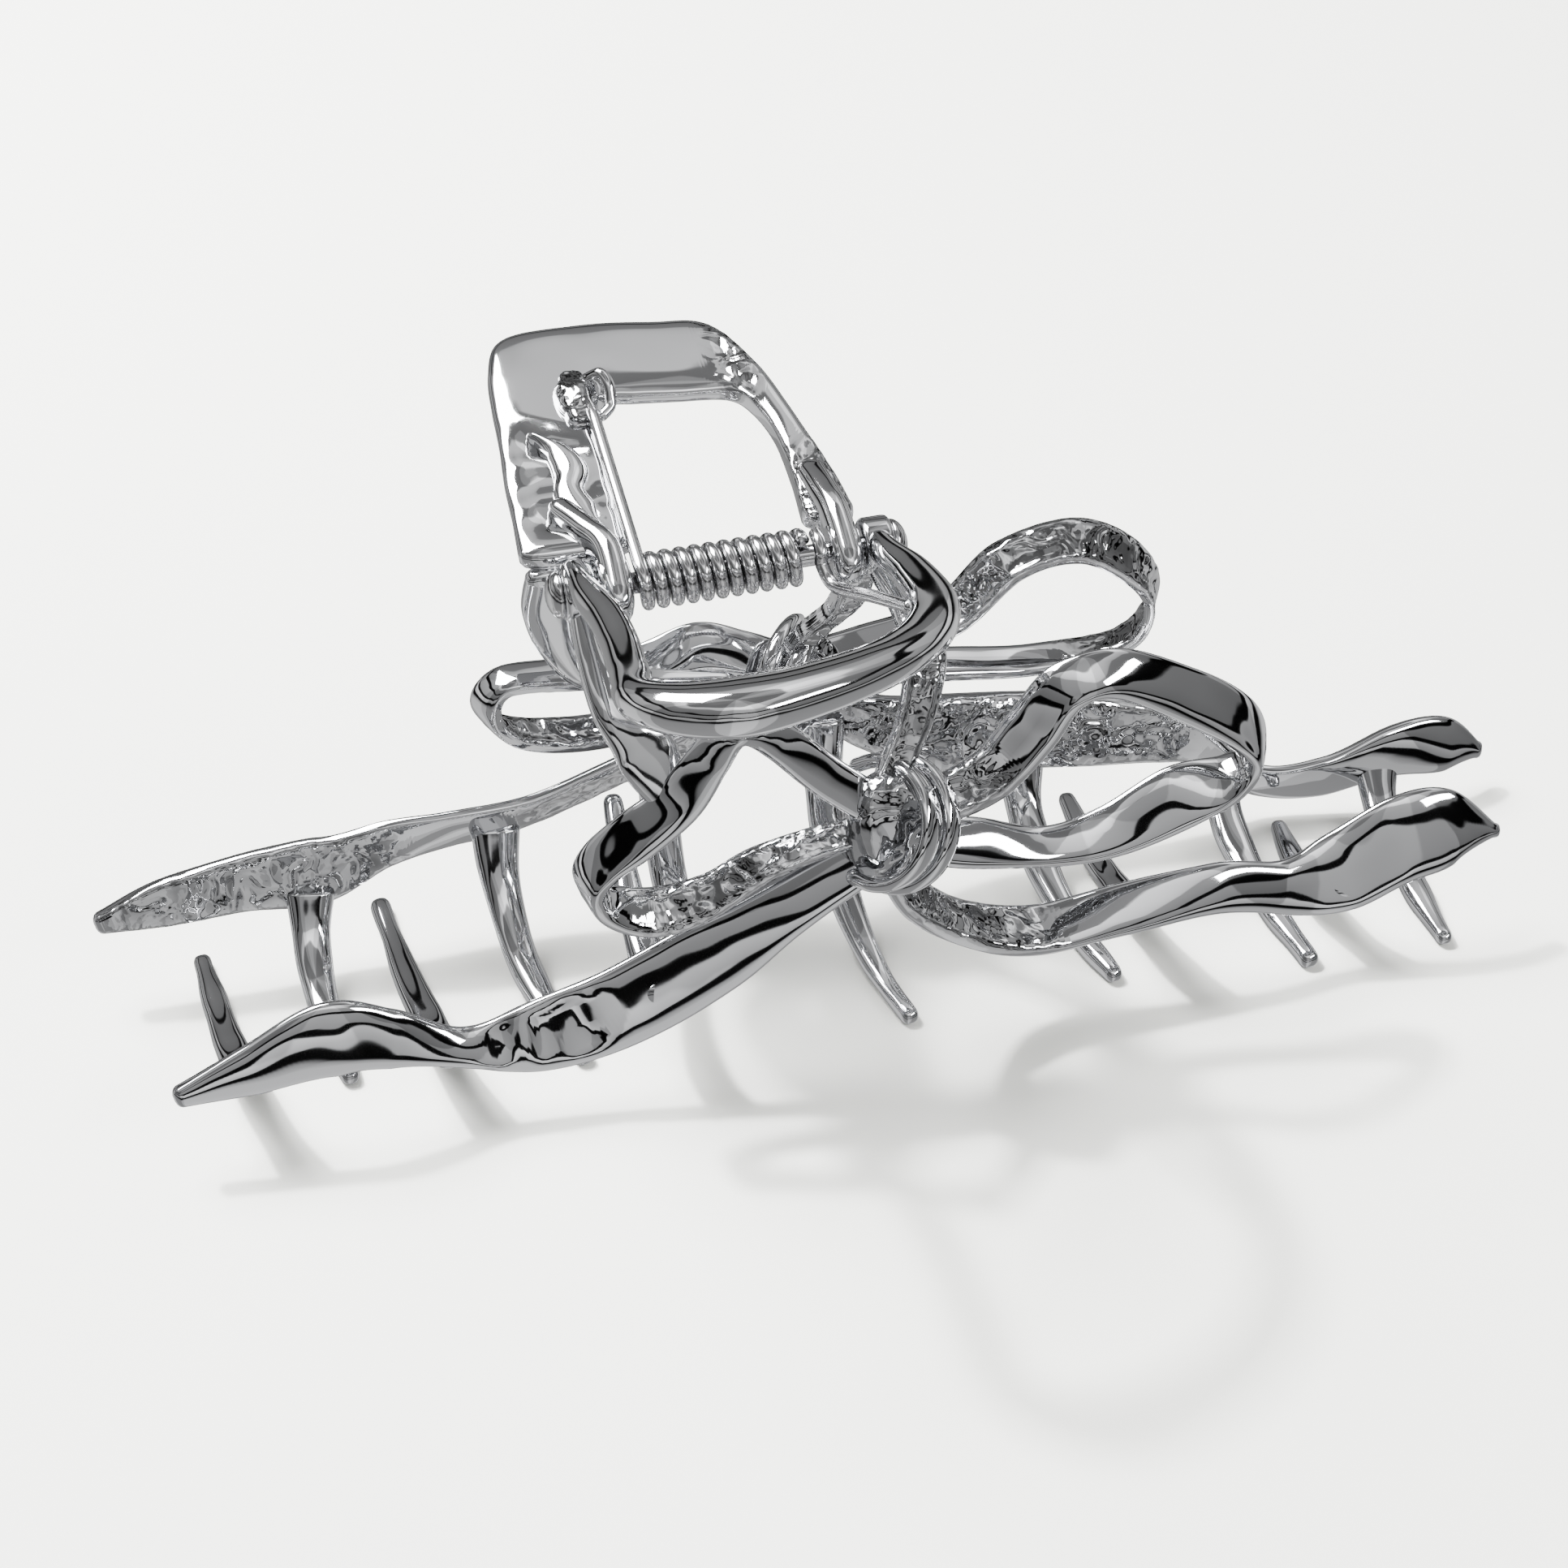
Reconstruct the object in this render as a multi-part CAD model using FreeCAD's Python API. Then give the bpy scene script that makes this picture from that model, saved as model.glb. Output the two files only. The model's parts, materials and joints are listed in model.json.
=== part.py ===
import FreeCAD
import Part
import math
import os

from FreeCAD import Vector

# Bow-shaped claw hair clip in cast metal: a front and a rear half on one hinge pin.
# X runs along the hinge, -Y is the front half's side, +Z is up.  Everything is laid out
# about the hinge centre and moved at the end, so that the clip stands on its prong tips.

# ---- driving dimensions, millimetres and degrees ----
HINGE_HEIGHT = 41.0          # hinge axis above the surface that the prong tips rest on
HINGE_X = -10.4              # hinge centre along the length; the bow is off-centre
HINGE_Y = 0.86               # the front handle reaches out further than the rear
FRONT_RISE = 15.0            # slope of the front handle above level
REAR_RISE = 13.5             # slope of the rear handle above level

PIN_RADIUS = 0.85
PIN_CLEARANCE = 0.05         # radial gap between the pin and the bored ears
PIN_HEAD_RADIUS = 1.9
PIN_HEAD_HEIGHT = 1.2
EAR_RADIUS = 2.3
EAR_ARM = 7.0                # length of a rear ear's arm, from the pin
EAR_ARM_DEPTH = 3.7
EAR_GAP = 0.3                # gap between a front ear and the rear ear beside it
LEG_GAP = 0.12               # gap between the coil and the front leg's first bend

WIRE_RADIUS = 0.53
COIL_RADIUS = 1.75           # from the pin's axis to the middle of the wire
COIL_PITCH = 1.17
COIL_TURNS = 11
COIL_STATIONS = 10           # wire sections per turn, before smoothing
WIRE_CORNER = 0.6            # the round wire is drawn with eight sides
REAR_LEG_REACH = 20.5        # how far from the pin the wire's rear leg ends
COIL_LEFT = -6.1             # x of the wire's middle at the coil's left end

RIBBON = 1.2                 # thickness of the cast ribbons
LEG = 1.6                    # thickness of the legs
REAR_PLATE = 1.9             # thickness of the flat rear handle
PRONG_WIDTH = 2.9            # near mid length; the root is wider and the tip narrower
PRONG_THICKNESS = 1.8
TIP_RADIUS = 0.7             # half the prong's thickness at its rounded tip
PRONG_BOW = 1.4              # how far the curve's corner strays to the left of the root
PRONG_DIP = 0.25             # how far the curve's corner lies below the tip's middle
PRONG_INWARD = 0.25          # share of the way in from root to tip at the curve's corner
SHORT_PRONG_DIP = 3.0        # how far the corner of a prong that stops in the air is below its root
PRONG_STEPS = 5              # sections from a prong's root to its tip
STEPS_PER_SPAN = 2           # sections from one station of a ribbon to the next
SPANS_PER_FACE = 6           # longest stretch of sections that one face covers
FLOOR = -HINGE_HEIGHT

# x where each ear starts and ends
FRONT_LEFT_EAR = (-12.2, -9.7)
REAR_LEFT_EAR = (FRONT_LEFT_EAR[1] + EAR_GAP, -6.9)
REAR_RIGHT_EAR = (8.8, 11.2)
FRONT_RIGHT_EAR = (REAR_RIGHT_EAR[1] + EAR_GAP, 13.9)

# front and rear knots of the bow: centre, half sizes and the axis that its bands go round
FRONT_KNOT = (Vector(10.4, -11.6, -18.2), Vector(3.9, 2.9, 5.2), Vector(-0.70, -0.50, 0.50))
REAR_KNOT = (Vector(8.7, 10.6, -19.2), Vector(3.8, 2.8, 4.9), Vector(-0.80, 0.60, 0.10))
# the bands: place along the axis, radius, width, start and end angle
FRONT_HOOPS = [(1.3, 4.9, 2.4, -130, 100), (-1.2, 5.2, 1.9, -130, 100)]
REAR_HOOPS = [(1.1, 4.6, 2.0, 40, 320), (-1.1, 4.6, 2.0, 40, 320)]
HOOP_THICKNESS = 1.1
HOOP_STEPS = 12              # sections from one end of a band to the other
HOOP_END = 0.45              # width of a band at its ends, as a share of its full width
CORE_STEPS = 6               # sections from the bottom of a knot's core to its top
CORE_BARREL = 0.85           # how far a core narrows to its ends: 0 is straight, 1 is a point
BORE_LENGTH = 40.0           # longer than the row of ears
BOSS_HEIGHT = 3.2
BOSS_SUNK = 0.2              # how far the boss starts below the middle of the rear handle
BOSS_EDGE = 0.8              # radius of its rounded edges


# ---- shape helpers ----
def section_points(centre, across, through, corner):
    """Oblong with cut corners about centre; half sizes are the two vectors, corner is 0 to 1."""
    points = []
    for u, v in ((1, -1), (1, 1), (-1, 1), (-1, -1)):
        long_cut = (u, v * (1 - corner))
        short_cut = (u * (1 - corner * through.Length / across.Length), v)
        order = (long_cut, short_cut) if u * v > 0 else (short_cut, long_cut)
        for a, b in order:
            points.append(centre + across * a + through * b)
    return points


def smoothed(rows, steps=STEPS_PER_SPAN):
    """The rows with extra ones between them, on a smooth curve through every row."""
    result = []
    last = len(rows) - 1
    for i in range(last):
        before = rows[max(i - 1, 0)]
        after = rows[min(i + 2, last)]
        for step in range(steps):
            t = step / steps
            row = []
            for a, b, c, d in zip(before, rows[i], rows[i + 1], after):
                bend = (c - a) * t + (2 * a - 5 * b + 4 * c - d) * t ** 2 + (3 * b - a - 3 * c + d) * t ** 3
                row.append(b + 0.5 * bend)
            result.append(row)
    result.append(list(rows[last]))
    return result


def strip(first, second):
    """Face of straight rulings between two curves that share their knots."""
    surface = Part.BSplineSurface()
    poles = [list(pair) for pair in zip(first.getPoles(), second.getPoles())]
    surface.buildFromPolesMultsKnots(
        poles, first.getMultiplicities(), [2, 2], first.getKnots(), [0.0, 1.0],
        False, False, first.Degree, 1)
    return surface.toShape()


def band(stations, corner=0.55):
    """Cast ribbon through stations of (x, y, z, wx, wy, wz, thickness): middle and width vector."""
    rows = smoothed(stations)
    middles = [Vector(*row[:3]) for row in rows]
    last = len(rows) - 1
    sections = []
    along = [0.0]
    for i, row in enumerate(rows):
        run = middles[min(i + 1, last)] - middles[max(i - 1, 0)]
        run.normalize()
        width = Vector(*row[3:6])
        width = width - run * width.dot(run)
        normal = run.cross(width)
        normal.normalize()
        sections.append(section_points(middles[i], width * 0.5, normal * (row[6] * 0.5), corner))
        if i > 0:
            along.append(along[-1] + (middles[i] - middles[i - 1]).Length)
    rails = []
    for line in zip(*sections):
        curve = Part.BSplineCurve()
        curve.interpolate(Points=list(line), Parameters=along)
        rails.append(curve)
    faces = []
    for first in range(0, last, SPANS_PER_FACE):
        start, stop = along[first], along[min(first + SPANS_PER_FACE, last)]
        pieces = [rail.copy() for rail in rails]
        for piece in pieces:
            piece.segment(start, stop)
        faces += [strip(pieces[k - 1], pieces[k]) for k in range(len(pieces))]
    for end in (sections[0], sections[-1]):
        faces.append(Part.Face(Part.makePolygon(end + end[:1])))
    shell = Part.Shell(faces)
    shell.sewShape()
    solid = Part.Solid(shell)
    if solid.Volume < 0:
        solid.reverse()
    return solid


def bezier(start, corner, end, count):
    """Points on a quarter-turn curve that leaves start towards corner and arrives at end."""
    points = []
    for i in range(count):
        t = i / (count - 1.0)
        points.append(start * (1 - t) ** 2 + corner * (2 * t * (1 - t)) + end * t ** 2)
    return points


def prong(base, tip, sag=None):
    """Curved tooth from the ribbon's lower edge, down and then inwards to its rounded tip."""
    base = Vector(*base)
    tip = Vector(*tip)
    corner_z = tip.z - PRONG_DIP if sag is None else sag
    corner = Vector(base.x - PRONG_BOW, base.y + (tip.y - base.y) * PRONG_INWARD, corner_z)
    points = bezier(base, corner, tip, PRONG_STEPS + 1)
    stations = []
    for i, point in enumerate(points):
        t = i / PRONG_STEPS
        width = PRONG_WIDTH * (1.15 - 0.6 * t * t)
        depth = PRONG_THICKNESS * (1.1 - 0.3 * t)
        stations.append((point.x, point.y, point.z, width, 0.0, 0.0, depth))
    return band(stations, 0.7)


def handle_plane(x, reach, lift, rise, side):
    """Point on a handle: reach is measured out from the pin, lift is square to the handle."""
    a = math.radians(rise)
    y = side * (reach * math.cos(a) - lift * math.sin(a))
    return Vector(x, y, reach * math.sin(a) + lift * math.cos(a))


def ear(span):
    """Round lug about the pin, between the two x values, without its bore."""
    return Part.makeCylinder(EAR_RADIUS, span[1] - span[0], Vector(span[0], 0, 0), Vector(1, 0, 0))


def bored(shape):
    """The shape with the pin's running hole through it."""
    start = Vector(-BORE_LENGTH / 2, 0, 0)
    hole = Part.makeCylinder(PIN_RADIUS + PIN_CLEARANCE, BORE_LENGTH, start, Vector(1, 0, 0))
    return shape.cut(hole) if shape.BoundBox.intersect(hole.BoundBox) else shape


def knot_core(centre, half):
    """Upright barrel of eight-sided sections with the given half sizes."""
    stations = []
    for step in range(CORE_STEPS + 1):
        t = 2.0 * step / CORE_STEPS - 1
        swell = 2.0 * math.sqrt(1 - CORE_BARREL * t * t)
        stations.append((centre.x, centre.y, centre.z + half.z * t, half.x * swell, 0.0, 0.0, half.y * swell))
    return band(stations, 0.6)


def hoop(centre, axis, offset, radius, width, start, stop):
    """Band wrapped round a knot: part of a ring, with tapered ends that sink into the knot."""
    axis = axis / axis.Length
    upward = axis.cross(Vector(1, 0, 0))
    upward.normalize()
    sideways = upward.cross(axis)
    stations = []
    for step in range(HOOP_STEPS + 1):
        a = math.radians(start + (stop - start) * step / HOOP_STEPS)
        place = centre + axis * offset + (sideways * math.cos(a) + upward * math.sin(a)) * radius
        share = HOOP_END + (1 - HOOP_END) * math.sin(math.pi * step / HOOP_STEPS)
        across = axis * (width * share)
        stations.append((place.x, place.y, place.z, across.x, across.y, across.z, HOOP_THICKNESS))
    return band(stations)


def knot(centre, half, axis, hoops):
    """Rounded core where the ribbons meet, with its bands."""
    shape = knot_core(centre, half)
    for measures in hoops:
        shape = shape.fuse(hoop(centre, axis, *measures))
    return shape


# ---- hinge hardware ----
def hinge_pin():
    """Straight rivet pin with a domed head at each end, as one turned piece."""
    left = FRONT_LEFT_EAR[0] - 0.1
    right = FRONT_RIGHT_EAR[1] + 0.1
    pin = Part.makeCylinder(PIN_RADIUS, right - left, Vector(left, 0, 0), Vector(1, 0, 0))
    ball = (PIN_HEAD_RADIUS ** 2 + PIN_HEAD_HEIGHT ** 2) / (2.0 * PIN_HEAD_HEIGHT)
    rim = math.degrees(math.asin((ball - PIN_HEAD_HEIGHT) / ball))
    for x, side in ((left, -1), (right, 1)):
        middle = Vector(x - side * (ball - PIN_HEAD_HEIGHT), 0, 0)
        pin = pin.fuse(Part.makeSphere(ball, middle, Vector(side, 0, 0), rim, 90))
    return pin


def wire_run(points):
    """Round spring wire through the given points, which lie near one upright plane."""
    stations = []
    for i, point in enumerate(points):
        run = points[min(i + 1, len(points) - 1)] - points[max(i - 1, 0)]
        side = run.cross(Vector(1, 0, 0))
        side.normalize()
        side = side * (2.0 * WIRE_RADIUS)
        stations.append((point.x, point.y, point.z, side.x, side.y, side.z, 2.0 * WIRE_RADIUS))
    return band(stations, WIRE_CORNER)


def torsion_spring():
    """One wire: the leg that lies along the rear handle, then the coil round the pin."""
    stations = []
    wide = handle_plane(0, 0, 2.0 * WIRE_RADIUS, REAR_RISE, 1)
    for reach in (REAR_LEG_REACH, 14.0, 8.0, 3.0):
        place = handle_plane(COIL_LEFT, reach, COIL_RADIUS, REAR_RISE, 1)
        stations.append((place.x, place.y, place.z, wide.x, wide.y, wide.z, 2.0 * WIRE_RADIUS))
    for i in range(COIL_TURNS * COIL_STATIONS + 1):
        turn = i / COIL_STATIONS
        a = math.radians(90.0 + REAR_RISE + 360.0 * turn)
        out = Vector(0, math.cos(a), math.sin(a))
        place = out * COIL_RADIUS + Vector(COIL_LEFT + COIL_PITCH * turn, 0, 0)
        wide = out * (2.0 * WIRE_RADIUS)
        stations.append((place.x, place.y, place.z, wide.x, wide.y, wide.z, 2.0 * WIRE_RADIUS))
    return band(stations, WIRE_CORNER)


def spring_front_leg():
    """Far end of the same wire: it comes off the coil and presses on the front handle."""
    x = COIL_LEFT + COIL_TURNS * COIL_PITCH + 2.0 * WIRE_RADIUS + LEG_GAP
    points = []
    for angle in (75, 110, 145, 180):
        a = math.radians(angle)
        points.append(Vector(x, COIL_RADIUS * math.cos(a), COIL_RADIUS * math.sin(a)))
    points.append(Vector(x + 0.6, -3.6, -0.8))
    points.append(Vector(x + 2.2, -8.4, 1.2))
    points.append(Vector(x + 3.6, -13.6, 3.4))
    return wire_run(points)


# ---- handles ----
def front_handle():
    """Round bar from one front ear, out round the bowed grip and back to the other ear."""
    route = [
        # x, reach, lift, width, depth
        (-10.95, 0.0, 1.2, 2.3, 2.8),
        (-10.9, 4.0, 1.1, 2.4, 2.9),
        (-10.3, 9.0, 0.7, 2.8, 2.9),
        (-10.3, 14.0, 0.3, 2.9, 2.8),
        (-10.7, 19.0, 0.0, 3.0, 2.9),
        (-11.0, 23.8, 0.0, 3.2, 3.1),
        (-8.6, 26.8, 0.0, 4.6, 3.6),
        (-4.6, 28.2, 0.0, 5.6, 4.0),
        (0.8, 27.2, 0.0, 4.9, 3.6),
        (6.2, 24.8, 0.0, 4.2, 3.2),
        (10.6, 20.6, 0.0, 4.0, 3.0),
        (13.0, 15.0, 0.0, 3.8, 2.9),
        (13.3, 8.5, 0.2, 3.2, 2.8),
        (12.75, 4.0, 0.4, 2.3, 2.6),
        (12.65, 0.0, 0.5, 2.2, 2.5),
    ]
    places = [handle_plane(x, reach, lift, FRONT_RISE, -1) for x, reach, lift, _, _ in route]
    square = handle_plane(0, 0, 1, FRONT_RISE, -1)
    last = len(route) - 1
    stations = []
    for i, (place, size) in enumerate(zip(places, route)):
        run = places[min(i + 1, last)] - places[max(i - 1, 0)]
        across = square.cross(run)
        across.normalize()
        across = across * size[3]
        stations.append((place.x, place.y, place.z, across.x, across.y, across.z, size[4]))
    return band(stations, 0.6)


def rear_handle():
    """Flat frame: wide bar on the left, narrow bar on the right, open middle and open foot."""
    outline = [(-14.6, 3.4), (-14.2, 10.5), (-13.7, 18.0), (-13.2, 25.0), (-11.2, 28.3), (-5.6, 28.8),
               (1.0, 28.0), (5.8, 26.4), (8.3, 21.5), (9.9, 15.5), (11.2, 9.5), (12.0, 3.4),
               (9.8, 2.9), (7.6, 3.4), (8.0, 8.5), (7.9, 13.5), (6.6, 17.8), (1.0, 19.0),
               (-4.2, 19.7), (-5.5, 17.0), (-5.5, 10.0), (-5.6, 3.4), (-8.0, 3.0), (-12.5, 2.9)]
    places = [handle_plane(x, reach, -REAR_PLATE / 2, REAR_RISE, 1) for x, reach in outline]
    edges = []
    # outside of the frame, then the foot of each bar, then the opening
    for first, after in ((0, 11), (11, 13), (13, 21), (21, 24)):
        stretch = [places[i % len(places)] for i in range(first, after + 1)]
        curve = Part.BSplineCurve()
        curve.interpolate(stretch)
        edges.append(curve.toShape())
    face = Part.Face(Part.Wire(edges))
    thickness = handle_plane(0, 0, REAR_PLATE, REAR_RISE, 1)
    return face.extrude(thickness)


def rear_ear(span):
    """Lug on the pin with an arm that runs out into the rear handle's bar."""
    width = span[1] - span[0]
    arm = Part.makeBox(width, EAR_ARM, EAR_ARM_DEPTH, Vector(span[0], 0, -EAR_ARM_DEPTH / 2))
    arm.rotate(Vector(0, 0, 0), Vector(1, 0, 0), REAR_RISE)
    return ear(span).fuse(arm).removeSplitter()


def wire_boss():
    """Cast lump on the rear handle that the end of the spring's leg tucks into."""
    foot = [(-9.0, 17.4), (-4.7, 17.4), (-4.7, 21.6), (-9.0, 21.6)]
    points = [handle_plane(x, reach, -BOSS_SUNK, REAR_RISE, 1) for x, reach in foot]
    points.append(points[0])
    block = Part.Face(Part.makePolygon(points)).extrude(handle_plane(0, 0, BOSS_HEIGHT, REAR_RISE, 1))
    return block.makeFillet(BOSS_EDGE, block.Edges)


# ---- ribbons of the bow: stations of middle (x, y, z) and width vector, lower to upper edge ----
RIBBONS = {
    "front_left_tail": [
        (8.3, -11.4, -21.2, -1.6, 3.0, 3.2), (2.1, -11.5, -24.9, -1.8, 3.0, 3.8),
        (-3.8, -11.5, -28.7, -2.1, 3.0, 5.4), (-11.4, -11.5, -32.4, -2.2, 3.0, 5.6),
        (-18.2, -11.3, -34.1, -2.1, 2.6, 5.2), (-24.0, -11.0, -34.2, -1.6, 2.0, 3.2),
        (-29.8, -11.0, -31.9, -0.6, 2.0, 4.8), (-34.8, -11.0, -30.7, -0.4, 2.2, 5.8),
        (-41.0, -11.0, -32.4, -0.5, 1.5, 3.8), (-46.6, -11.0, -33.7, -0.1, 0.4, 1.8)],
    "front_right_tail": [
        (11.0, -11.2, -23.0, 2.4, 2.2, 0.6), (13.2, -11.2, -27.2, 2.4, 3.0, 0.6),
        (17.5, -11.0, -30.8, 1.0, 4.4, 0.9), (23.2, -11.0, -32.8, 0.8, 4.2, 1.6),
        (30.7, -11.0, -32.3, 0.3, 3.4, 2.8), (39.3, -11.0, -31.9, 0.2, 2.4, 3.6),
        (45.9, -11.0, -33.2, -1.4, 2.4, 4.4), (50.5, -11.0, -32.5, -1.2, 3.8, 5.6),
        (55.5, -11.0, -30.2, -1.4, 3.8, 6.2), (60.0, -11.0, -29.8, -1.8, 3.4, 5.6),
        (63.4, -11.0, -30.4, -0.6, 1.6, 2.6)],
    "rear_left_tail": [
        (8.0, 10.8, -20.6, 1.4, -0.6, 2.4), (3.0, 11.0, -23.0, 1.2, -2.0, 4.0),
        (-6.1, 11.0, -26.2, 0.8, -2.8, 4.9),
        (-14.6, 11.0, -29.0, 0.6, -3.0, 5.0), (-21.5, 11.0, -29.5, 0.2, -3.0, 5.4),
        (-27.0, 11.0, -30.0, 0.4, -1.8, 6.0), (-32.5, 11.0, -31.5, 0.8, 0.0, 7.0),
        (-39.0, 11.0, -31.5, 0.8, 0.4, 5.7), (-45.8, 11.0, -32.2, 0.6, 0.4, 4.6),
        (-50.9, 11.0, -33.1, 0.0, 0.2, 2.0)],
    "rear_right_tail": [
        (10.5, 11.0, -22.4, -1.2, 0.8, 4.6), (15.0, 11.0, -25.4, -1.0, 1.2, 5.8),
        (21.5, 11.0, -28.0, -0.6, 2.6, 6.6), (32.4, 10.5, -29.6, 0.0, 2.4, 6.5),
        (43.5, 9.4, -32.0, -0.8, 0.8, 5.6), (50.0, 7.4, -36.4, -0.8, -1.4, 4.2),
        (56.2, 6.4, -36.7, 0.2, -0.8, 4.6), (62.8, 6.4, -35.2, 0.4, 1.4, 4.6),
        (68.0, 6.6, -35.6, -0.4, 2.2, 4.6), (71.4, 6.8, -37.2, -0.6, 1.0, 2.6)],
    "front_left_loop": [
        (9.8, -11.6, -16.7, 1.8, 1.8, 2.0), (5.5, -12.0, -12.4, 2.0, 1.6, 2.2),
        (1.7, -12.2, -8.0, 1.8, 2.2, 1.6), (-1.6, -12.4, -5.8, -0.2, 3.6, 0.6),
        (-4.0, -12.4, -8.6, -2.6, 2.2, 0.8), (-6.4, -12.2, -12.2, -2.6, 2.4, 1.6),
        (-9.6, -12.2, -14.6, -1.8, 2.8, 2.4), (-12.4, -12.0, -16.8, -1.6, 3.4, 1.4),
        (-13.6, -12.0, -18.9, -1.0, 3.9, 0.2), (-12.2, -12.0, -21.2, 0.4, 3.6, 1.2),
        (-8.6, -12.0, -22.8, 0.6, 2.8, 2.8), (-4.4, -12.0, -22.2, 0.2, 2.6, 2.8),
        (-0.2, -12.0, -20.0, -0.6, 2.4, 2.0), (4.6, -11.9, -18.8, -0.2, 2.2, 1.6),
        (9.6, -11.7, -18.4, 0.0, 2.0, 1.4)],
    "front_right_loop": [
        (10.6, -11.6, -17.4, -0.6, 2.4, 2.6), (15.1, -12.0, -16.4, -1.1, 2.6, 2.9),
        (19.0, -12.0, -14.6, -2.0, 2.6, 2.8), (22.0, -12.0, -11.0, -2.8, 2.6, 2.1),
        (24.6, -12.0, -7.6, -1.8, 2.8, 2.4), (29.0, -12.0, -7.2, 0.7, 2.6, 3.0),
        (35.0, -12.0, -10.6, 1.8, 2.6, 3.2), (39.4, -12.0, -14.0, 2.4, 3.2, 2.2),
        (41.0, -12.0, -17.0, 1.8, 4.0, 0.6), (39.0, -12.0, -19.4, 0.4, 4.0, 1.8),
        (34.6, -12.0, -20.6, -1.0, 3.4, 4.0), (29.0, -12.0, -22.8, -1.0, 3.0, 3.0),
        (23.5, -12.0, -23.2, -0.4, 2.6, 2.2), (17.5, -11.9, -21.6, 0.2, 2.8, 3.2),
        (11.6, -11.7, -20.2, 0.2, 2.4, 2.4)],
    "rear_left_loop": [
        (9.0, 10.8, -18.2, -0.6, 2.6, 2.2), (4.8, 11.2, -16.6, -0.4, 2.4, 3.4),
        (0.6, 11.8, -15.6, 0.2, 2.4, 3.6), (-4.6, 12.2, -16.8, 0.4, 2.8, 2.2),
        (-10.4, 12.2, -16.4, -0.4, 3.2, 0.8), (-15.6, 12.2, -16.2, -0.8, 3.2, 0.4),
        (-17.2, 12.2, -18.8, -1.6, 3.2, 0.2), (-14.6, 12.2, -21.6, -0.4, 3.2, 0.8),
        (-8.6, 12.0, -22.6, 0.2, 3.0, 1.4), (-1.0, 11.4, -21.4, 0.4, 2.8, 1.8),
        (8.6, 10.8, -20.6, 0.2, 2.6, 1.4)],
    "rear_right_loop": [
        (8.6, 10.8, -18.0, -0.8, 2.4, 1.6), (15.0, 11.6, -18.0, -1.0, 3.0, 2.0),
        (22.4, 12.0, -16.7, -1.6, 3.0, 1.8), (27.8, 12.0, -12.0, -1.8, 3.2, 1.8),
        (33.8, 12.0, -11.0, 0.4, 3.2, 2.4), (38.6, 12.0, -13.8, 1.8, 3.2, 1.8),
        (41.0, 12.0, -18.0, 1.8, 3.4, 0.4), (38.8, 12.4, -22.4, 0.4, 3.6, -0.4),
        (31.0, 13.2, -23.6, 0.0, 3.0, 1.0), (23.0, 13.0, -22.4, 0.2, 3.0, 1.2),
        (15.0, 12.0, -20.8, 0.3, 2.8, 1.2), (8.8, 10.8, -20.4, 0.3, 2.4, 1.2)],
}

LEGS = {
    "front_left_leg": [
        (-10.95, -1.2, -1.2, 2.0, 0.0, 0.0), (-10.9, -4.6, -3.4, 2.4, 0.0, 0.2),
        (-9.8, -7.8, -6.0, 4.6, -0.6, -1.0), (-8.2, -9.6, -8.8, 6.0, -0.8, -1.8),
        (-7.0, -11.0, -12.0, 3.8, -0.4, -0.8), (-6.4, -11.6, -14.2, 2.2, 0.0, 0.0)],
    "front_right_leg": [
        (12.6, -1.2, -1.2, 2.0, 0.0, 0.0), (14.0, -4.8, -3.2, 2.8, 0.0, -0.6),
        (14.3, -8.2, -5.6, 3.4, 0.0, 0.2), (13.0, -10.2, -9.4, 3.4, 0.0, 0.8),
        (11.2, -11.0, -13.4, 3.2, 0.0, 0.8), (10.6, -11.2, -15.8, 2.8, 0.0, 0.8)],
    "rear_left_leg": [
        (-11.3, 3.6, -0.7, 6.2, 0.0, 0.2), (-11.6, 5.2, -4.6, 6.0, -0.3, 0.6),
        (-10.9, 6.8, -9.2, 4.8, -0.8, 1.2), (-9.0, 8.6, -13.8, 3.2, -1.0, 1.8),
        (-4.6, 10.0, -17.0, 1.8, -0.8, 2.4), (2.4, 10.4, -18.6, 0.6, -0.6, 2.6)],
    "rear_right_leg": [
        (10.2, 1.2, -1.2, 1.9, 0.0, 0.0), (12.2, 4.0, -4.6, 2.8, 0.0, 0.2),
        (12.0, 6.0, -9.0, 3.2, 0.0, 0.8), (9.8, 7.8, -12.6, 3.2, 0.0, 0.8),
        (8.2, 9.6, -16.2, 2.8, 0.0, 0.6)],
}

# teeth: where each one leaves its ribbon and where its tip's middle is
TIP = FLOOR + TIP_RADIUS
REAR_PRONGS = [
    ((-33.7, 10.8, -33.6), (-33.3, -5.0, TIP)), ((-17.4, 11.6, -30.8), (-14.4, -7.8, TIP)),
    ((-3.0, 11.6, -27.0), (-1.7, -1.5, TIP)), ((10.9, 10.6, -24.2), (12.8, -10.2, TIP)),
    ((29.0, 10.2, -32.0), (30.9, -9.8, TIP)), ((47.2, 8.4, -36.2), (47.5, -12.4, TIP)),
    ((61.4, 6.2, -37.0), (59.7, -12.8, TIP))]
FRONT_PRONGS = [
    ((-40.6, -11.2, -33.4), (-43.4, 12.0, TIP)), ((-24.8, -11.2, -34.6), (-27.6, 15.2, TIP)),
    ((-7.6, -12.0, -31.2), (-7.8, 8.0, -27.4)), ((35.2, -11.6, -32.8), (34.8, 13.4, TIP)),
    ((51.4, -11.8, -33.4), (51.8, 4.6, TIP))]


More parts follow.
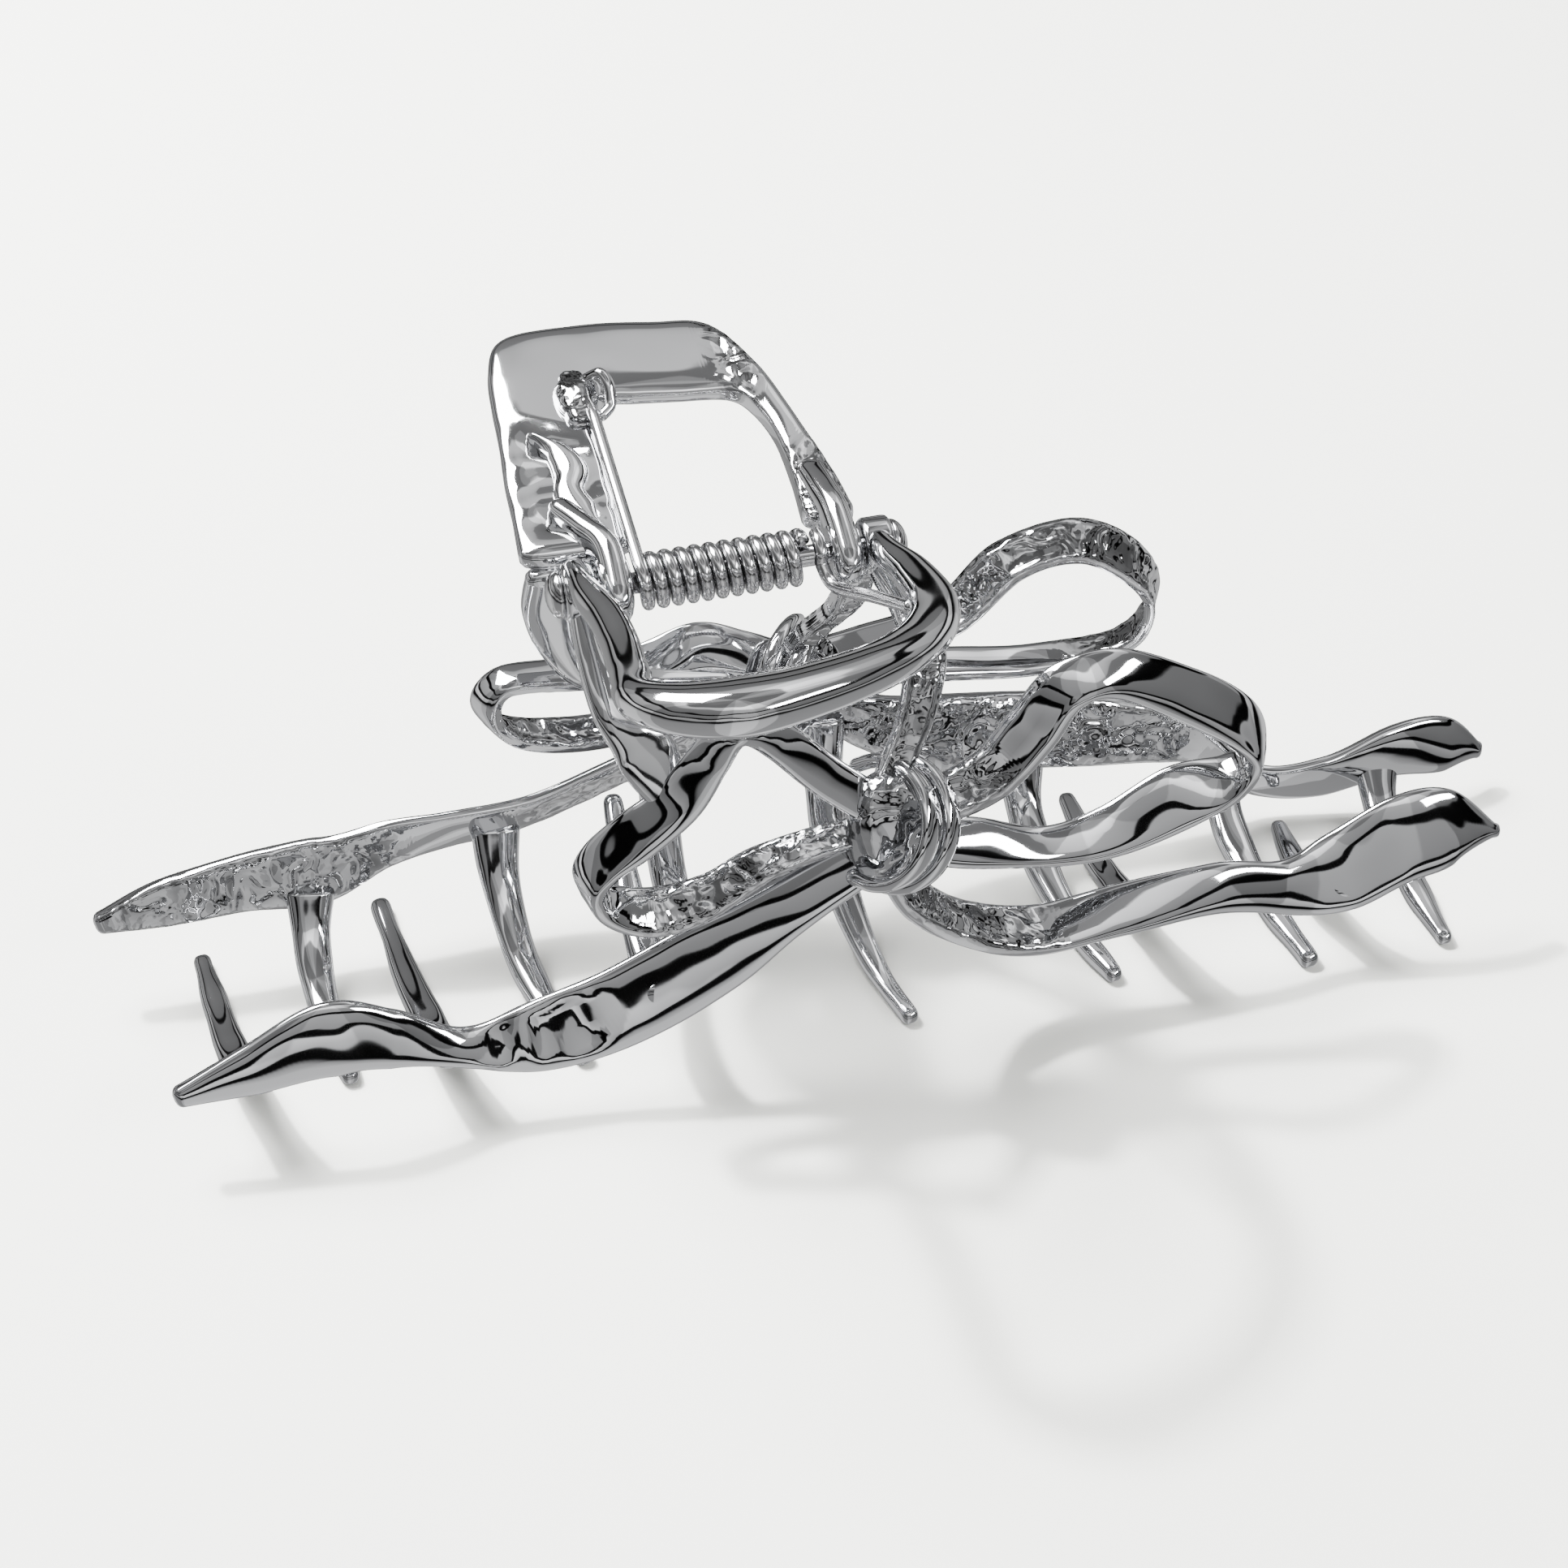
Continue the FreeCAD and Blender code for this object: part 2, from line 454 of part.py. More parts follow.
def build():
    """Every piece in the hinge's own frame, by node name."""
    made = {}
    made["hinge_pin"] = hinge_pin()
    made["torsion_spring"] = torsion_spring()
    made["spring_front_leg"] = spring_front_leg()

    ears = {
        "front_left_ear": ear(FRONT_LEFT_EAR),
        "front_right_ear": ear(FRONT_RIGHT_EAR),
        "rear_left_ear": rear_ear(REAR_LEFT_EAR),
        "rear_right_ear": rear_ear(REAR_RIGHT_EAR),
    }
    halves = {"front": [], "rear": []}

    def add(half, name, shape):
        """Clear the pin's hole and the pieces of the same half made so far out of a new piece."""
        shape = bored(shape)
        for other in halves[half]:
            if shape.BoundBox.intersect(made[other].BoundBox):
                shape = shape.cut(made[other])
        pieces = sorted(shape.Solids, key=lambda s: s.Volume)
        made[name] = pieces[-1]
        halves[half].append(name)

    add("front", "front_knot", knot(*FRONT_KNOT, FRONT_HOOPS))
    add("rear", "rear_knot", knot(*REAR_KNOT, REAR_HOOPS))
    halves["rear"] += ["hinge_pin", "torsion_spring"]
    halves["front"] += ["spring_front_leg"]
    for name, shape in ears.items():
        add(name.split("_")[0], name, shape)
    add("rear", "rear_handle", rear_handle())
    add("rear", "wire_boss", wire_boss())
    add("front", "front_handle", front_handle())
    for name, stations in LEGS.items():
        add(name.split("_")[0], name, band([s + (LEG,) for s in stations]))
    for name, stations in RIBBONS.items():
        add(name.split("_")[0], name, band([s + (RIBBON,) for s in stations]))
    for half, teeth in (("rear", REAR_PRONGS), ("front", FRONT_PRONGS)):
        for number, (base, tip) in enumerate(teeth, start=1):
            sag = base[2] - SHORT_PRONG_DIP if tip[2] > TIP else None
            add(half, "%s_prong_%d" % (half, number), prong(base, tip, sag))
    return made


def export(made):
    os.makedirs("parts", exist_ok=True)
    shift = Vector(HINGE_X, HINGE_Y, HINGE_HEIGHT)
    for name, shape in made.items():
        shape = shape.copy()
        shape.translate(shift)
        shape.exportStep("parts/%s.step" % name)


if __name__ == "__main__":
    export(build())
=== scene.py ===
import json
import math

import bpy
import numpy as np
from mathutils import Matrix, Vector, noise

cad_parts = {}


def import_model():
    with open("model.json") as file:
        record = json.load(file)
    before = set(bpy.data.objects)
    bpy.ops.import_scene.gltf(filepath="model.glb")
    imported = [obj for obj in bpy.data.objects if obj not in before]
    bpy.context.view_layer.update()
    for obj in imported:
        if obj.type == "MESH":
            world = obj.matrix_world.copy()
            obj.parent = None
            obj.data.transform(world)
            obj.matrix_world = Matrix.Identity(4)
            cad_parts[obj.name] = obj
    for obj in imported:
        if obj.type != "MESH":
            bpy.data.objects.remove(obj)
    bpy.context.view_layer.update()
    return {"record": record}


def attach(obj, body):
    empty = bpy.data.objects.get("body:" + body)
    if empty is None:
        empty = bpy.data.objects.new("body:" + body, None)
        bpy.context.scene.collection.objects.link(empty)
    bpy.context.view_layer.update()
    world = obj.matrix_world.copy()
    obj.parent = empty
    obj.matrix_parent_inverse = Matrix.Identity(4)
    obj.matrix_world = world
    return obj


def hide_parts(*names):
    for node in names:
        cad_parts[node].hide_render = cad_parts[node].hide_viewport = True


# Bow-shaped claw hair clip in plated cast metal.  Shapes are laid out in millimetres about
# the hinge centre (X along the pin, -Y towards the front half, +Z up), as the CAD is.

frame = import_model()

MM = 0.001
HINGE = Vector(frame["record"]["behaviour"]["joints"][0]["pos_m"])

PIN_RADIUS = 0.85
BORE_RADIUS = 0.9
PIN_HEAD_RADIUS = 1.9
PIN_HEAD_HEIGHT = 1.2
EAR_RADIUS = 2.3
WIRE_RADIUS = 0.53
COIL_RADIUS = 1.75
COIL_PITCH = 1.17
COIL_TURNS = 11
COIL_LEFT = -6.1
REAR_LEG_REACH = 20.5
RIBBON = 1.2
LEG = 1.6
REAR_PLATE = 1.9
PRONG_WIDTH = 2.9
PRONG_THICKNESS = 1.8
TIP_RADIUS = 0.7
PRONG_BOW = 1.4
PRONG_DIP = 0.25         # how far a prong's curve corner lies below its tip's middle
PRONG_INWARD = 0.25      # share of the way in from root to tip at that corner
SHORT_PRONG_DIP = 3.0    # the same corner below the root, on a prong that stops in the air
PRONG_STEPS = 5
PRONG_FLARE = 1.25       # how much wider a prong is where it leaves its ribbon
ROUGH_REAR_PRONGS = 3    # the first prongs of the rear half, which are coarse as cast
HOOP_THICKNESS = 1.1
HOOP_STEPS = 12
HOOP_END = 0.45          # width of a band at its ends, as a share of its full width
LEG_GAP = 0.12           # gap between the coil and the front leg's first bend
FRONT_RISE = 15.0
REAR_RISE = 13.5
FRONT_LEFT_EAR = (-12.2, -9.7)
REAR_LEFT_EAR = (-9.4, -6.9)
REAR_RIGHT_EAR = (8.8, 11.2)
FRONT_RIGHT_EAR = (11.5, 13.9)
FLOOR = -41.0
FRONT_KNOT = (10.4, -11.6, -18.2)
REAR_KNOT = (8.7, 10.6, -19.2)

# relief of the castings; sizes and depths of bumps are in millimetres
WAVE_SIZE = 5.0
DENT_SIZE = 2.6
DENT_DEPTH = 0.7
FOLD_SIZE = 1.5
FOLD_DEPTH = 0.42
GRIT_SIZE = 0.6
GRIT_DEPTH = 0.12
CREST_WAVE = 9           # radians of the crest's wandering over the whole length
CAP_STEPS = (0.35, 0.65, 0.86, 0.97)   # how far out along a rounded end each of its rings is
CREST_STRAY = 0.35       # how far a ridge's crest strays to each side, as a share of half the width
PLEAT_HEIGHT = 0.3       # as a share of half the thickness
PLEAT_WAVE = 9           # radians of the pleats' wave from the ribbon's middle to its edge
POCKET_DEPTH = 0.5       # as a share of half the thickness
MASK_FADE = 0.06         # share of the length over which a rough or dented stretch fades out


# ---- geometry helpers ----
def smoothed(rows, steps):
    """The rows with extra ones between them, on a smooth curve through every row."""
    rows = np.array(rows, float)
    result = []
    last = len(rows) - 1
    for i in range(last):
        a = rows[max(i - 1, 0)]
        b = rows[i]
        c = rows[i + 1]
        d = rows[min(i + 2, last)]
        for step in range(steps):
            t = step / steps
            bend = (c - a) * t + (2 * a - 5 * b + 4 * c - d) * t ** 2 + (3 * b - a - 3 * c + d) * t ** 3
            result.append(b + 0.5 * bend)
    result.append(rows[last])
    return np.array(result)


def unit(vectors):
    return vectors / np.maximum(np.linalg.norm(vectors, axis=-1, keepdims=True), 1e-9)


def window(along, start, stop):
    """1 between start and stop along the sweep, fading to 0 outside them."""
    rise = np.clip((along - start) / MASK_FADE + 1, 0, 1)
    fall = np.clip((stop - along) / MASK_FADE + 1, 0, 1)
    both = rise * fall
    return both * both * (3 - 2 * both)


def add_mesh(name, points, faces, cast=None):
    """Mesh object from points in millimetres about the hinge centre; cast is 0 to 1 at each point, where the
    plating is coarse and darkened by painted shade.
    """
    mesh = bpy.data.meshes.new(name)
    places = np.array(points, float) * MM + np.array(HINGE)
    mesh.from_pydata(places.tolist(), [], faces)
    mesh.polygons.foreach_set("use_smooth", [True] * len(mesh.polygons))
    values = np.zeros(len(places)) if cast is None else np.array(cast, float)
    attribute = mesh.attributes.new("cast", "FLOAT", "POINT")
    attribute.data.foreach_set("value", values.astype(np.float32))
    mesh.update()
    obj = bpy.data.objects.new(name, mesh)
    bpy.context.collection.objects.link(obj)
    return obj


def tube_faces(rings, around):
    """Quads between the rings, and a fan of triangles to the two pole points that follow them."""
    faces = []
    for i in range(rings - 1):
        for k in range(around):
            n = (k + 1) % around
            faces.append((i * around + k, i * around + n, (i + 1) * around + n, (i + 1) * around + k))
    first = rings * around
    for k in range(around):
        n = (k + 1) % around
        faces.append((first, n, k))
        faces.append((first + 1, (rings - 1) * around + k, (rings - 1) * around + n))
    return faces


def ripple(point, size, depth):
    """Smooth bumps of about that size and depth, in millimetres, at a point."""
    return noise.noise(Vector(point) / size) * depth


def crease(point, size, depth):
    """Folds with sharp valleys, like crinkled foil."""
    return (abs(noise.noise(Vector(point) / size)) - 0.25) * depth


def sweep(name, stations, steps=16, around=44, flat=5.0, square=True, crown=0.08, ridge=0.0,
          cast=(), pleats=(), pockets=(), ends=(True, True), wobble=0.05, hollow=0.45):
    """Cast bar or ribbon through stations of (x, y, z, wx, wy, wz, thickness).

    steps is the number of rings from one station to the next and around the points in a ring.
    flat is how box-like the section is, 2 being an ellipse, and square turns the width vectors
    square to the path.  crown raises the middle of both faces.  ridge raises a crest that strays
    from side to side, so that a face breaks into two facets.  cast, pleats and pockets list
    (start, stop, side): stretches of the length where that face is rough, gathered or dented.
    ends says which ends are rounded.  wobble is the depth of the broad waves in millimetres, and
    hollow how deep a rough stretch is sunk, as a share of half the thickness.
    """
    rows = smoothed(stations, steps)
    middles = rows[:, :3]
    run = unit(np.gradient(middles, axis=0))
    width = rows[:, 3:6]
    if square:
        width = width - run * (width * run).sum(axis=1, keepdims=True)
    normal = unit(np.cross(run, width))
    width = width / 2
    depth = rows[:, 6:7] / 2
    gone = np.concatenate([[0], np.cumsum(np.linalg.norm(np.diff(middles, axis=0), axis=1))])
    along = gone / gone[-1]

    # rounded ends: a few more rings that shrink to a point
    rings = [(middles[i], width[i], normal[i] * depth[i], along[i]) for i in range(len(rows))]
    for end in (0, 1):
        if not ends[end]:
            continue
        i = -1 if end else 0
        out = run[i] * (1 if end else -1)
        cap = []
        for t in CAP_STEPS:
            shrink = math.sqrt(1 - t * t)
            pull = out * t * depth[i] * 1.2
            cap.append((middles[i] + pull, width[i] * (0.4 * shrink + 0.6 * shrink ** 0.5),
                        normal[i] * depth[i] * shrink, along[i]))
        rings = rings + cap if end else cap[::-1] + rings

    turn = np.arange(around) * 2 * math.pi / around
    u = np.sign(np.cos(turn)) * np.abs(np.cos(turn)) ** (2 / flat)
    v = np.sign(np.sin(turn)) * np.abs(np.sin(turn)) ** (2 / max(2.0, flat * 0.7))
    points = []
    rough = []
    middle_weight = np.clip(1 - np.abs(u) ** 4, 0, 1)
    for centre, across, through, s in rings:
        crest = CREST_STRAY * math.sin(CREST_WAVE * s + 1)
        tent = np.where(u < crest, (u + 1) / (crest + 1), (1 - u) / (1 - crest))
        height = v * (1 + crown * (1 - u * u) + ridge * tent)
        coarse = np.zeros(around)
        for start, stop, side in cast:
            mask = window(s, start, stop) * middle_weight * (side * v > 0)
            coarse = np.maximum(coarse, mask)
            height = height - side * (hollow * (1 - u * u) + ridge * tent) * mask
        for start, stop, side in pleats:
            mask = window(s, start, stop) * middle_weight * (side * v > 0)
            height = height + PLEAT_HEIGHT * side * mask * np.cos(u * PLEAT_WAVE + 3 * s)
        dented = np.zeros(around)
        for start, stop, side in pockets:
            mask = window(s, start, stop) * middle_weight * (side * v > 0)
            dented = np.maximum(dented, mask)
            height = height - side * POCKET_DEPTH * mask * (1 - u * u)
        thick = np.linalg.norm(through)
        for k in range(around):
            p = centre + across * u[k] + through * height[k]
            out = unit(across * u[k] + through * v[k] * 2)
            bump = ripple(p, WAVE_SIZE, wobble) + ripple(p, DENT_SIZE, DENT_DEPTH * dented[k])
            bump += coarse[k] * (crease(p, FOLD_SIZE, FOLD_DEPTH) + ripple(p, GRIT_SIZE, GRIT_DEPTH))
            points.append(p + out * bump * min(1.0, thick * 2))
            rough.append(coarse[k])
    for edge in (rings[0], rings[-1]):
        points.append(edge[0])
        rough.append(0.0)
    return add_mesh(name, points, tube_faces(len(rings), around), rough)


def handle_plane(x, reach, lift, rise, side):
    """Point on a handle: reach is measured out from the pin, lift is square to the handle."""
    a = math.radians(rise)
    y = side * (reach * math.cos(a) - lift * math.sin(a))
    return np.array((x, y, reach * math.sin(a) + lift * math.cos(a)))


def lathe(name, profile, bored=False, around=40):
    """Round piece about the hinge line from (x, radius) pairs, closed at both ends or bored through."""
    points = []
    for x, radius in profile:
        for k in range(around):
            a = 2 * math.pi * k / around
            points.append((x, radius * math.cos(a), radius * math.sin(a)))
    points.append((profile[0][0], 0, 0))
    points.append((profile[-1][0], 0, 0))
    faces = [face[::-1] for face in tube_faces(len(profile), around)]
    if bored:
        last = (len(profile) - 1) * around
        faces = [face for face in faces if len(face) == 4]
        for k in range(around):
            n = (k + 1) % around
            faces.append((last + n, n, k, last + k)[::-1])
        points = points[:-2]
    return add_mesh(name, points, faces)


# ---- materials ----
CREVICE_SHADE = 0.25     # painted shade: brightness of the deepest rough plating, as a share of the smooth
CREVICE_ROUGHNESS = 0.04


class Nodes:
    """Short way to build the node tree of a material or world."""

    def __init__(self, owner):
        owner.use_nodes = True
        self.tree = owner.node_tree
        self.tree.nodes.clear()

    def add(self, kind, **values):
        node = self.tree.nodes.new(kind)
        for key, value in values.items():
            if key in node.inputs:
                node.inputs[key].default_value = value
            else:
                setattr(node, key, value)
        return node

    def link(self, source, output, target, entry):
        self.tree.links.new(source.outputs[output], target.inputs[entry])


def chrome(name, tint, roughness, wave, rough_depth):
    """Mirror plating over a rippled casting; the cast attribute makes it coarse and uneven, with painted
    shade darkening it in patches.
    """
    material = bpy.data.materials.new(name)
    n = Nodes(material)
    place = n.add("ShaderNodeTexCoord")
    flag = n.add("ShaderNodeAttribute", attribute_name="cast")
    long_wave = n.add("ShaderNodeTexNoise", Scale=140.0, Detail=1.0, Roughness=0.4)
    n.link(place, "Object", long_wave, "Vector")
    grain = n.add("ShaderNodeTexNoise", Scale=380.0, Detail=1.0, Roughness=0.4, Distortion=1.5)
    n.link(place, "Object", grain, "Vector")
    crackle = n.add("ShaderNodeTexVoronoi", Scale=260.0, feature="SMOOTH_F1", Smoothness=0.15)
    n.link(place, "Object", crackle, "Vector")
    blend = n.add("ShaderNodeMath", operation="ADD")
    n.link(grain, "Fac", blend, 0)
    n.link(crackle, "Distance", blend, 1)
    masked = n.add("ShaderNodeMath", operation="MULTIPLY")
    n.link(blend, "Value", masked, 0)
    n.link(flag, "Fac", masked, 1)
    gentle = n.add("ShaderNodeBump", Strength=wave, Distance=0.0006)
    n.link(long_wave, "Fac", gentle, "Height")
    strong = n.add("ShaderNodeBump", Strength=rough_depth, Distance=0.0004)
    n.link(masked, "Value", strong, "Height")
    n.link(gentle, "Normal", strong, "Normal")
    # painted shade: grain noise on the cast stretches mixes the tint towards a darker copy (CREVICE_SHADE of
    # it); the same amount also raises the roughness a little
    shade = n.add("ShaderNodeMix", data_type="RGBA")
    shade.inputs["A"].default_value = (*tint, 1)
    shade.inputs["B"].default_value = (*(CREVICE_SHADE * level for level in tint), 1)
    painted_shade_mask = n.add("ShaderNodeMath", operation="MULTIPLY")
    n.link(grain, "Fac", painted_shade_mask, 0)
    n.link(flag, "Fac", painted_shade_mask, 1)
    n.link(painted_shade_mask, "Value", shade, "Factor")
    gloss = n.add("ShaderNodeMapRange")
    gloss.inputs["To Min"].default_value = roughness
    gloss.inputs["To Max"].default_value = roughness + CREVICE_ROUGHNESS
    n.link(painted_shade_mask, "Value", gloss, "Value")
    surface = n.add("ShaderNodeBsdfPrincipled", Metallic=1.0)
    n.link(shade, "Result", surface, "Base Color")
    n.link(gloss, "Result", surface, "Roughness")
    n.link(strong, "Normal", surface, "Normal")
    result = n.add("ShaderNodeOutputMaterial")
    n.link(surface, "BSDF", result, "Surface")
    return material


MATERIALS = {
    "ribbon_chrome": chrome("ribbon_chrome", (0.66, 0.665, 0.68), 0.04, 0.25, 1.0),
    "handle_chrome": chrome("handle_chrome", (0.72, 0.725, 0.74), 0.06, 0.18, 1.0),
    "prong_chrome": chrome("prong_chrome", (0.66, 0.665, 0.68), 0.06, 0.25, 0.8),
    "spring_wire": chrome("spring_wire", (0.60, 0.60, 0.61), 0.14, 0.10, 0.3),
    "pin_steel": chrome("pin_steel", (0.62, 0.62, 0.63), 0.10, 0.15, 0.5),
}


def finish_piece(obj, material_slot, *nodes):
    """Gives the piece its material and lets it stand for its CAD nodes."""
    obj.data.materials.clear()
    obj.data.materials.append(MATERIALS[material_slot])
    half = "front_half" if nodes[0].startswith(("front", "spring_front")) else "rear_half"
    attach(obj, half)
    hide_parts(*nodes)
    return obj


# ---- ribbons of the bow: stations of middle (x, y, z) and width vector, lower to upper edge ----
RIBBONS = {
    "front_left_tail": [
        (8.3, -11.4, -21.2, -1.6, 3.0, 3.2), (2.1, -11.5, -24.9, -1.8, 3.0, 3.8),
        (-3.8, -11.5, -28.7, -2.1, 3.0, 5.4), (-11.4, -11.5, -32.4, -2.2, 3.0, 5.6),
        (-18.2, -11.3, -34.1, -2.1, 2.6, 5.2), (-24.0, -11.0, -34.2, -1.6, 2.0, 3.2),
        (-29.8, -11.0, -31.9, -0.6, 2.0, 4.8), (-34.8, -11.0, -30.7, -0.4, 2.2, 5.8),
        (-41.0, -11.0, -32.4, -0.5, 1.5, 3.8), (-46.6, -11.0, -33.7, -0.1, 0.4, 1.8)],
    "front_right_tail": [
        (11.0, -11.2, -23.0, 2.4, 2.2, 0.6), (13.2, -11.2, -27.2, 2.4, 3.0, 0.6),
        (17.5, -11.0, -30.8, 1.0, 4.4, 0.9), (23.2, -11.0, -32.8, 0.8, 4.2, 1.6),
        (30.7, -11.0, -32.3, 0.3, 3.4, 2.8), (39.3, -11.0, -31.9, 0.2, 2.4, 3.6),
        (45.9, -11.0, -33.2, -1.4, 2.4, 4.4), (50.5, -11.0, -32.5, -1.2, 3.8, 5.6),
        (55.5, -11.0, -30.2, -1.4, 3.8, 6.2), (60.0, -11.0, -29.8, -1.8, 3.4, 5.6),
        (63.8, -11.0, -31.0, -0.3, 0.8, 1.2)],
    "rear_left_tail": [
        (8.0, 10.8, -20.6, 1.4, -0.6, 2.4), (3.0, 11.0, -23.0, 1.2, -2.0, 4.0),
        (-6.1, 11.0, -26.2, 0.8, -2.8, 4.9),
        (-14.6, 11.0, -29.0, 0.6, -3.0, 5.0), (-21.5, 11.0, -29.5, 0.2, -3.0, 5.4),
        (-27.0, 11.0, -30.0, 0.4, -1.8, 6.0), (-32.5, 11.0, -31.5, 0.8, 0.0, 7.0),
        (-39.0, 11.0, -31.5, 0.8, 0.4, 5.7), (-45.8, 11.0, -32.2, 0.6, 0.4, 4.6),
        (-50.9, 11.0, -33.1, 0.0, 0.2, 2.0)],
    "rear_right_tail": [
        (10.5, 11.0, -22.4, -1.2, 0.8, 4.6), (15.0, 11.0, -25.4, -1.0, 1.2, 5.8),
        (21.5, 11.0, -28.0, -0.6, 2.6, 6.6), (32.4, 10.5, -29.6, 0.0, 2.4, 6.5),
        (43.5, 9.4, -32.0, -0.8, 0.8, 5.6), (50.0, 7.4, -36.4, -0.8, -1.4, 4.2),
        (56.2, 6.4, -36.7, 0.2, -0.8, 4.6), (62.8, 6.4, -35.2, 0.4, 1.4, 4.6),
        (68.0, 6.6, -35.6, -0.4, 2.2, 4.6), (71.2, 6.8, -37.0, -0.4, 0.8, 1.8)],
    "front_left_loop": [
        (9.8, -11.6, -16.7, 1.8, 1.8, 2.0), (5.5, -12.0, -12.4, 2.0, 1.6, 2.2),
        (1.7, -12.2, -8.0, 1.8, 2.2, 1.6), (-1.6, -12.4, -5.8, -0.2, 3.6, 0.6),
        (-4.0, -12.4, -8.6, -2.6, 2.2, 0.8), (-6.4, -12.2, -12.2, -2.6, 2.4, 1.6),
        (-9.6, -12.2, -14.6, -1.8, 2.8, 2.4), (-12.4, -12.0, -16.8, -1.6, 3.4, 1.4),
        (-13.6, -12.0, -18.9, -1.0, 3.9, 0.2), (-12.2, -12.0, -21.2, 0.4, 3.6, 1.2),
        (-8.6, -12.0, -22.8, 0.6, 2.8, 2.8), (-4.4, -12.0, -22.2, 0.2, 2.6, 2.8),
        (-0.2, -12.0, -20.0, -0.6, 2.4, 2.0), (4.6, -11.9, -18.8, -0.2, 2.2, 1.6),
        (9.6, -11.7, -18.4, 0.0, 2.0, 1.4)],
    "front_right_loop": [
        (10.6, -11.6, -17.4, -0.6, 2.4, 2.6), (15.1, -12.0, -16.4, -1.1, 2.6, 2.9),
        (19.0, -12.0, -14.6, -2.0, 2.6, 2.8), (22.0, -12.0, -11.0, -2.8, 2.6, 2.1),
        (24.6, -12.0, -7.6, -1.8, 2.8, 2.4), (29.0, -12.0, -7.2, 0.7, 2.6, 3.0),
        (35.0, -12.0, -10.6, 1.8, 2.6, 3.2), (39.4, -12.0, -14.0, 2.4, 3.2, 2.2),
        (41.0, -12.0, -17.0, 1.8, 4.0, 0.6), (39.0, -12.0, -19.4, 0.4, 4.0, 1.8),
        (34.6, -12.0, -20.6, -1.0, 3.4, 4.0), (29.0, -12.0, -22.8, -1.0, 3.0, 3.0),
        (23.5, -12.0, -23.2, -0.4, 2.6, 2.2), (17.5, -11.9, -21.6, 0.2, 2.8, 3.2),
        (11.6, -11.7, -20.2, 0.2, 2.4, 2.4)],
    "rear_left_loop": [
        (9.0, 10.8, -18.2, -0.6, 2.6, 2.2), (4.8, 11.2, -16.6, -0.4, 2.4, 3.4),
        (0.6, 11.8, -15.6, 0.2, 2.4, 3.6), (-4.6, 12.2, -16.8, 0.4, 2.8, 2.2),
        (-10.4, 12.2, -16.4, -0.4, 3.2, 0.8), (-15.6, 12.2, -16.2, -0.8, 3.2, 0.4),
        (-17.2, 12.2, -18.8, -1.6, 3.2, 0.2), (-14.6, 12.2, -21.6, -0.4, 3.2, 0.8),
        (-8.6, 12.0, -22.6, 0.2, 3.0, 1.4), (-1.0, 11.4, -21.4, 0.4, 2.8, 1.8),
        (8.6, 10.8, -20.6, 0.2, 2.6, 1.4)],
    "rear_right_loop": [
        (8.6, 10.8, -18.0, -0.8, 2.4, 1.6), (15.0, 11.6, -18.0, -1.0, 3.0, 2.0),
        (22.4, 12.0, -16.7, -1.6, 3.0, 1.8), (27.8, 12.0, -12.0, -1.8, 3.2, 1.8),
        (33.8, 12.0, -11.0, 0.4, 3.2, 2.4), (38.6, 12.0, -13.8, 1.8, 3.2, 1.8),
        (41.0, 12.0, -18.0, 1.8, 3.4, 0.4), (38.8, 12.4, -22.4, 0.4, 3.6, -0.4),
        (31.0, 13.2, -23.6, 0.0, 3.0, 1.0), (23.0, 13.0, -22.4, 0.2, 3.0, 1.2),
        (15.0, 12.0, -20.8, 0.3, 2.8, 1.2), (8.8, 10.8, -20.4, 0.3, 2.4, 1.2)],
}

LEGS = {
    "front_left_leg": [
        (-10.95, -1.2, -1.2, 2.0, 0.0, 0.0), (-10.9, -4.6, -3.4, 2.4, 0.0, 0.2),
        (-9.8, -7.8, -6.0, 4.6, -0.6, -1.0), (-8.2, -9.6, -8.8, 6.0, -0.8, -1.8),
        (-7.0, -11.0, -12.0, 3.8, -0.4, -0.8), (-6.4, -11.6, -14.2, 2.2, 0.0, 0.0)],
    "front_right_leg": [
        (12.6, -1.2, -1.2, 2.0, 0.0, 0.0), (14.0, -4.8, -3.2, 2.8, 0.0, -0.6),
        (14.3, -8.2, -5.6, 3.4, 0.0, 0.2), (13.0, -10.2, -9.4, 3.4, 0.0, 0.8),
        (11.2, -11.0, -13.4, 3.2, 0.0, 0.8), (10.6, -11.2, -15.8, 2.8, 0.0, 0.8)],
    "rear_left_leg": [
        (-11.3, 3.6, -0.7, 6.2, 0.0, 0.2), (-11.6, 5.2, -4.6, 6.0, -0.3, 0.6),
        (-10.9, 6.8, -9.2, 4.8, -0.8, 1.2), (-9.0, 8.6, -13.8, 3.2, -1.0, 1.8),
        (-4.6, 10.0, -17.0, 1.8, -0.8, 2.4), (2.4, 10.4, -18.6, 0.6, -0.6, 2.6)],
    "rear_right_leg": [
        (10.2, 1.2, -1.2, 1.9, 0.0, 0.0), (12.2, 4.0, -4.6, 2.8, 0.0, 0.2),
        (12.0, 6.0, -9.0, 3.2, 0.0, 0.8), (9.8, 7.8, -12.6, 3.2, 0.0, 0.8),
        (8.2, 9.6, -16.2, 2.8, 0.0, 0.6)],
}

